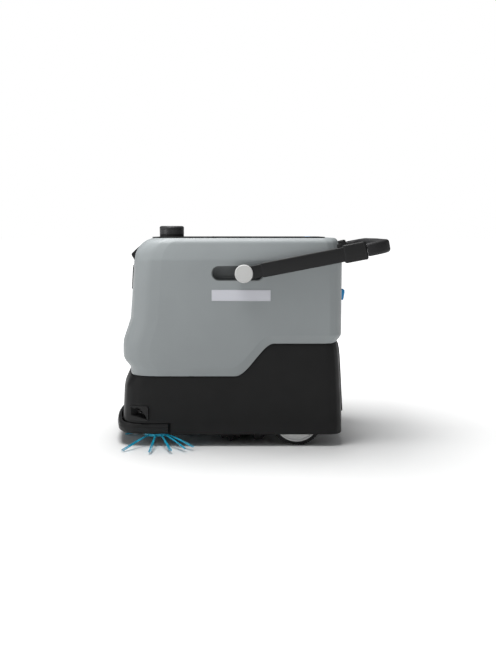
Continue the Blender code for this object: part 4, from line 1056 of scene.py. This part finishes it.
disc_outline = ((0.0082, 0.003), (0.015, 0.003), (0.0165, 0.0), (0.044, 0.0002),
                (0.0475, 0.0036), (0.0552, 0.0038), (0.0572, 0.0006), (RIM_R, 0.0006),
                (RIM_R, 0.03), (0.0082, 0.03))
for side, sign in (("left", -1), ("right", 1)):
    inward = "Y" if sign < 0 else "-Y"
    place = (WHEEL.x, sign * WHEEL_OUT, WHEEL.z)
    seat = Matrix.Translation(place) @ TURNS[inward]
    tyre = lathe(tyre_outline, inward, 300, start=place, reach=tread)
    piece("wheel_tyre_" + side, tyre, "tyre", "wheel_" + side, "tyre_" + side, 30)
    disc = lathe(disc_outline, inward, 96, 0.0008, start=place)
    pocket = soft_slab(round_rect(0.0215, 0.04, -0.0075, 0.0075, 0.005, 5), -0.01, 0.0042,
                       axis="Z")
    pockets = [moved(pocket, seat @ Matrix.Rotation(tau * i / BOLTS, 4, "Z"))
               for i in range(BOLTS)]
    disc = without(disc, joined(*pockets))
    piece("wheel_rim_" + side, disc, "wheel_white", "wheel_" + side, "wheel_disc_" + side, 30)
    bolts = [moved(screw_head(0.003, 0.0016),
                   seat @ Matrix.Rotation(tau * (i + 0.5) / BOLTS, 4, "Z")
                   @ Matrix.Translation((0.0515, 0, 0.0052)) @ UPSIDE_DOWN)
             for i in range(BOLTS)]
    piece("wheel_bolts_" + side, joined(*bolts), "dark_screw", "wheel_" + side)

# ---- side brushes ----

BRUSH_X, BRUSH_Y, BRUSH_Z = -0.197, 0.175, 0.024
BRUSH_TILT = radians(2.0)
TUFT_ANGLES = (233, 266, 289, 306, 317)
BRISTLES = 11
PLATE_R, TUFT_R = 0.034, 0.14
random = np.random.default_rng(7)


def bristle(angle, start, drop, spread_out, lift, length):
    """One tapered nylon bristle, bowed by its own weight."""
    points = []
    for share in (0, 0.25, 0.5, 0.75, 1.0):
        r = PLATE_R + (length - PLATE_R) * share
        a = radians(angle) + radians(start * 0.6 + spread_out * share ** 1.3)
        z = -0.0025 + lift - (0.0225 + drop) * share ** 1.25
        points.append((r * cos(a), r * sin(a), z))
    return rod(points, (0.00072, 0.0007, 0.00062, 0.00052, 0.00038), 6)


def tuft(angle):
    """A bundle of bristles, four abreast in three layers."""
    made = []
    for k in range(BRISTLES):
        across = (k % 4 - 1.5) / 1.5
        lift = (k // 4 - 1) * 0.0011
        start = 1.9 * across + random.uniform(-0.3, 0.3)
        drop = random.uniform(-0.002, 0.0)
        spread_out = 0.2 * across + random.uniform(-0.35, 0.35)
        length = TUFT_R - random.uniform(0.0, 0.006)
        made.append(bristle(angle, start, drop, spread_out, lift, length))
    return joined(*made)


ring_mesh = lathe(((0.0345, 0.0018), (0.0375, 0.0008), (0.0375, -0.0058), (0.0345, -0.0058)), "Z",
                  96, 0.0004)
hub_mesh = lathe(((0, 0.029), (0.005, 0.029), (0.005, 0.005), (0.02, 0.005), (PLATE_R, 0.0),
                  (PLATE_R, -0.0055), (0.026, -0.01), (0.012, -0.01), (0.0112, -0.0088),
                  (0.005, -0.0088), (0, -0.0088)), "Z", 96, 0.001)
hub_screw = moved(screw_head(0.004, 0.0024),
                  Matrix.Translation((0, 0, -0.0086)) @ UPSIDE_DOWN)
for side, sign in (("left", -1), ("right", 1)):
    axis = (Matrix.Translation((BRUSH_X, sign * BRUSH_Y, BRUSH_Z))
            @ Matrix.Rotation(-BRUSH_TILT, 4, "Y"))
    body = "side_brush_" + side
    tufts = [tuft(-sign * (a + half)) for a in TUFT_ANGLES for half in (0, 180)]
    piece("brush_bristles_" + side, moved(joined(ring_mesh, *tufts), axis), "blue_bristle", body,
          "side_brush_tufts_" + side, 50)
    piece("brush_plate_" + side, moved(hub_mesh, axis), "black_shell", body,
          "side_brush_hub_" + side, 35)
    piece("brush_screw_" + side, moved(hub_screw, axis), "steel", body)


# ---- the rest of the CAD nodes ----

# Pieces hidden inside are shown by their own CAD nodes, in the same looks.
for row in frame["record"]["subparts"]:
    shown = frame["nodes"][row["node"]]
    shown.data.materials.clear()
    shown.data.materials.append(LOOKS[row["material_slot"]])

# ---- floor, light and camera ----

FLOOR_HALF = 60.0
bm = bmesh.new()
bmesh.ops.create_grid(bm, x_segments=8, y_segments=8, size=FLOOR_HALF)
floor_mesh = finished(bm)
floor = placed("floor", floor_mesh)
floor_look = Look("floor_paper", (0.9, 0.9, 0.895), 0.8, Specular_IOR_Level=0.1)
floor_look.drift(0.01, 1.5, 0.05)
# The paper is given a painted glow, an emission that grows with distance from the robot, so that it fades to
# white.
spot = floor_look.add("Mapping")
spot.inputs["Location"].default_value = (0.1, 0.15, 0.0)
floor_look.link(floor_look.place, spot.inputs["Vector"])
away = floor_look.add("VectorMath", operation="LENGTH")
floor_look.link(spot.outputs["Vector"], away.inputs[0])
painted_floor_glow = floor_look.ranged(away.outputs["Value"], 0.0, 1.1, 0.25, 2.2)
floor_look.shader.inputs["Emission Color"].default_value = (1.0, 1.0, 1.0, 1.0)
floor_look.link(painted_floor_glow, floor_look.shader.inputs["Emission Strength"])
floor_mesh.materials.append(floor_look.material)

world = bpy.data.worlds.new("studio")
bpy.context.scene.world = world
world.use_nodes = True
tree = world.node_tree
surround = tree.nodes["Background"]
backdrop = tree.nodes.new("ShaderNodeBackground")
for node, colour, strength in ((surround, (0.94, 0.97, 1.0, 1.0), 0.12),
                               (backdrop, (1.0, 1.0, 1.0, 1.0), 1.0)):
    node.inputs["Color"].default_value = colour
    node.inputs["Strength"].default_value = strength
seen = tree.nodes.new("ShaderNodeLightPath")
choose = tree.nodes.new("ShaderNodeMixShader")
for output, target in ((seen.outputs["Is Camera Ray"], choose.inputs[0]),
                       (surround.outputs[0], choose.inputs[1]),
                       (backdrop.outputs[0], choose.inputs[2]),
                       (choose.outputs[0], tree.nodes["World Output"].inputs["Surface"])):
    tree.links.new(output, target)


def softbox(name, place, aim, width, height, power):
    data = bpy.data.lights.new(name, "AREA")
    data.shape = "RECTANGLE"
    data.size, data.size_y = width, height
    data.energy = power
    lamp = placed(name, data)
    lamp.location = place
    lamp.rotation_euler = (Vector(aim) - Vector(place)).to_track_quat("-Z", "Y").to_euler()


# A steep key and a wide top light cast the soft shadow; a small lamp fills in the nose.
softbox("steep_key", (-0.4, -0.6, 1.6), (0, -0.1, 0.3), 0.6, 0.4, 5.9)
softbox("top", (-0.3, 0.1, 2.0), (0, 0, 0.3), 1.6, 1.2, 42)
softbox("front_left", (-1.6, -0.9, 0.7), (-0.2, -0.1, 0.25), 0.6, 0.6, 4.0)

CAMERA_AT = (-0.0036, -2.63, 0.5685)
CAMERA_PITCH = 6.2
camera_data = bpy.data.cameras.new("camera")
camera_data.lens = 50.0
camera_data.sensor_width = 36.0
camera_data.clip_end = 200.0
camera = placed("camera", camera_data)
camera.location = CAMERA_AT
camera.rotation_euler = (radians(90 - CAMERA_PITCH), 0, 0)
bpy.context.scene.camera = camera
bpy.context.scene.view_settings.view_transform = "Standard"
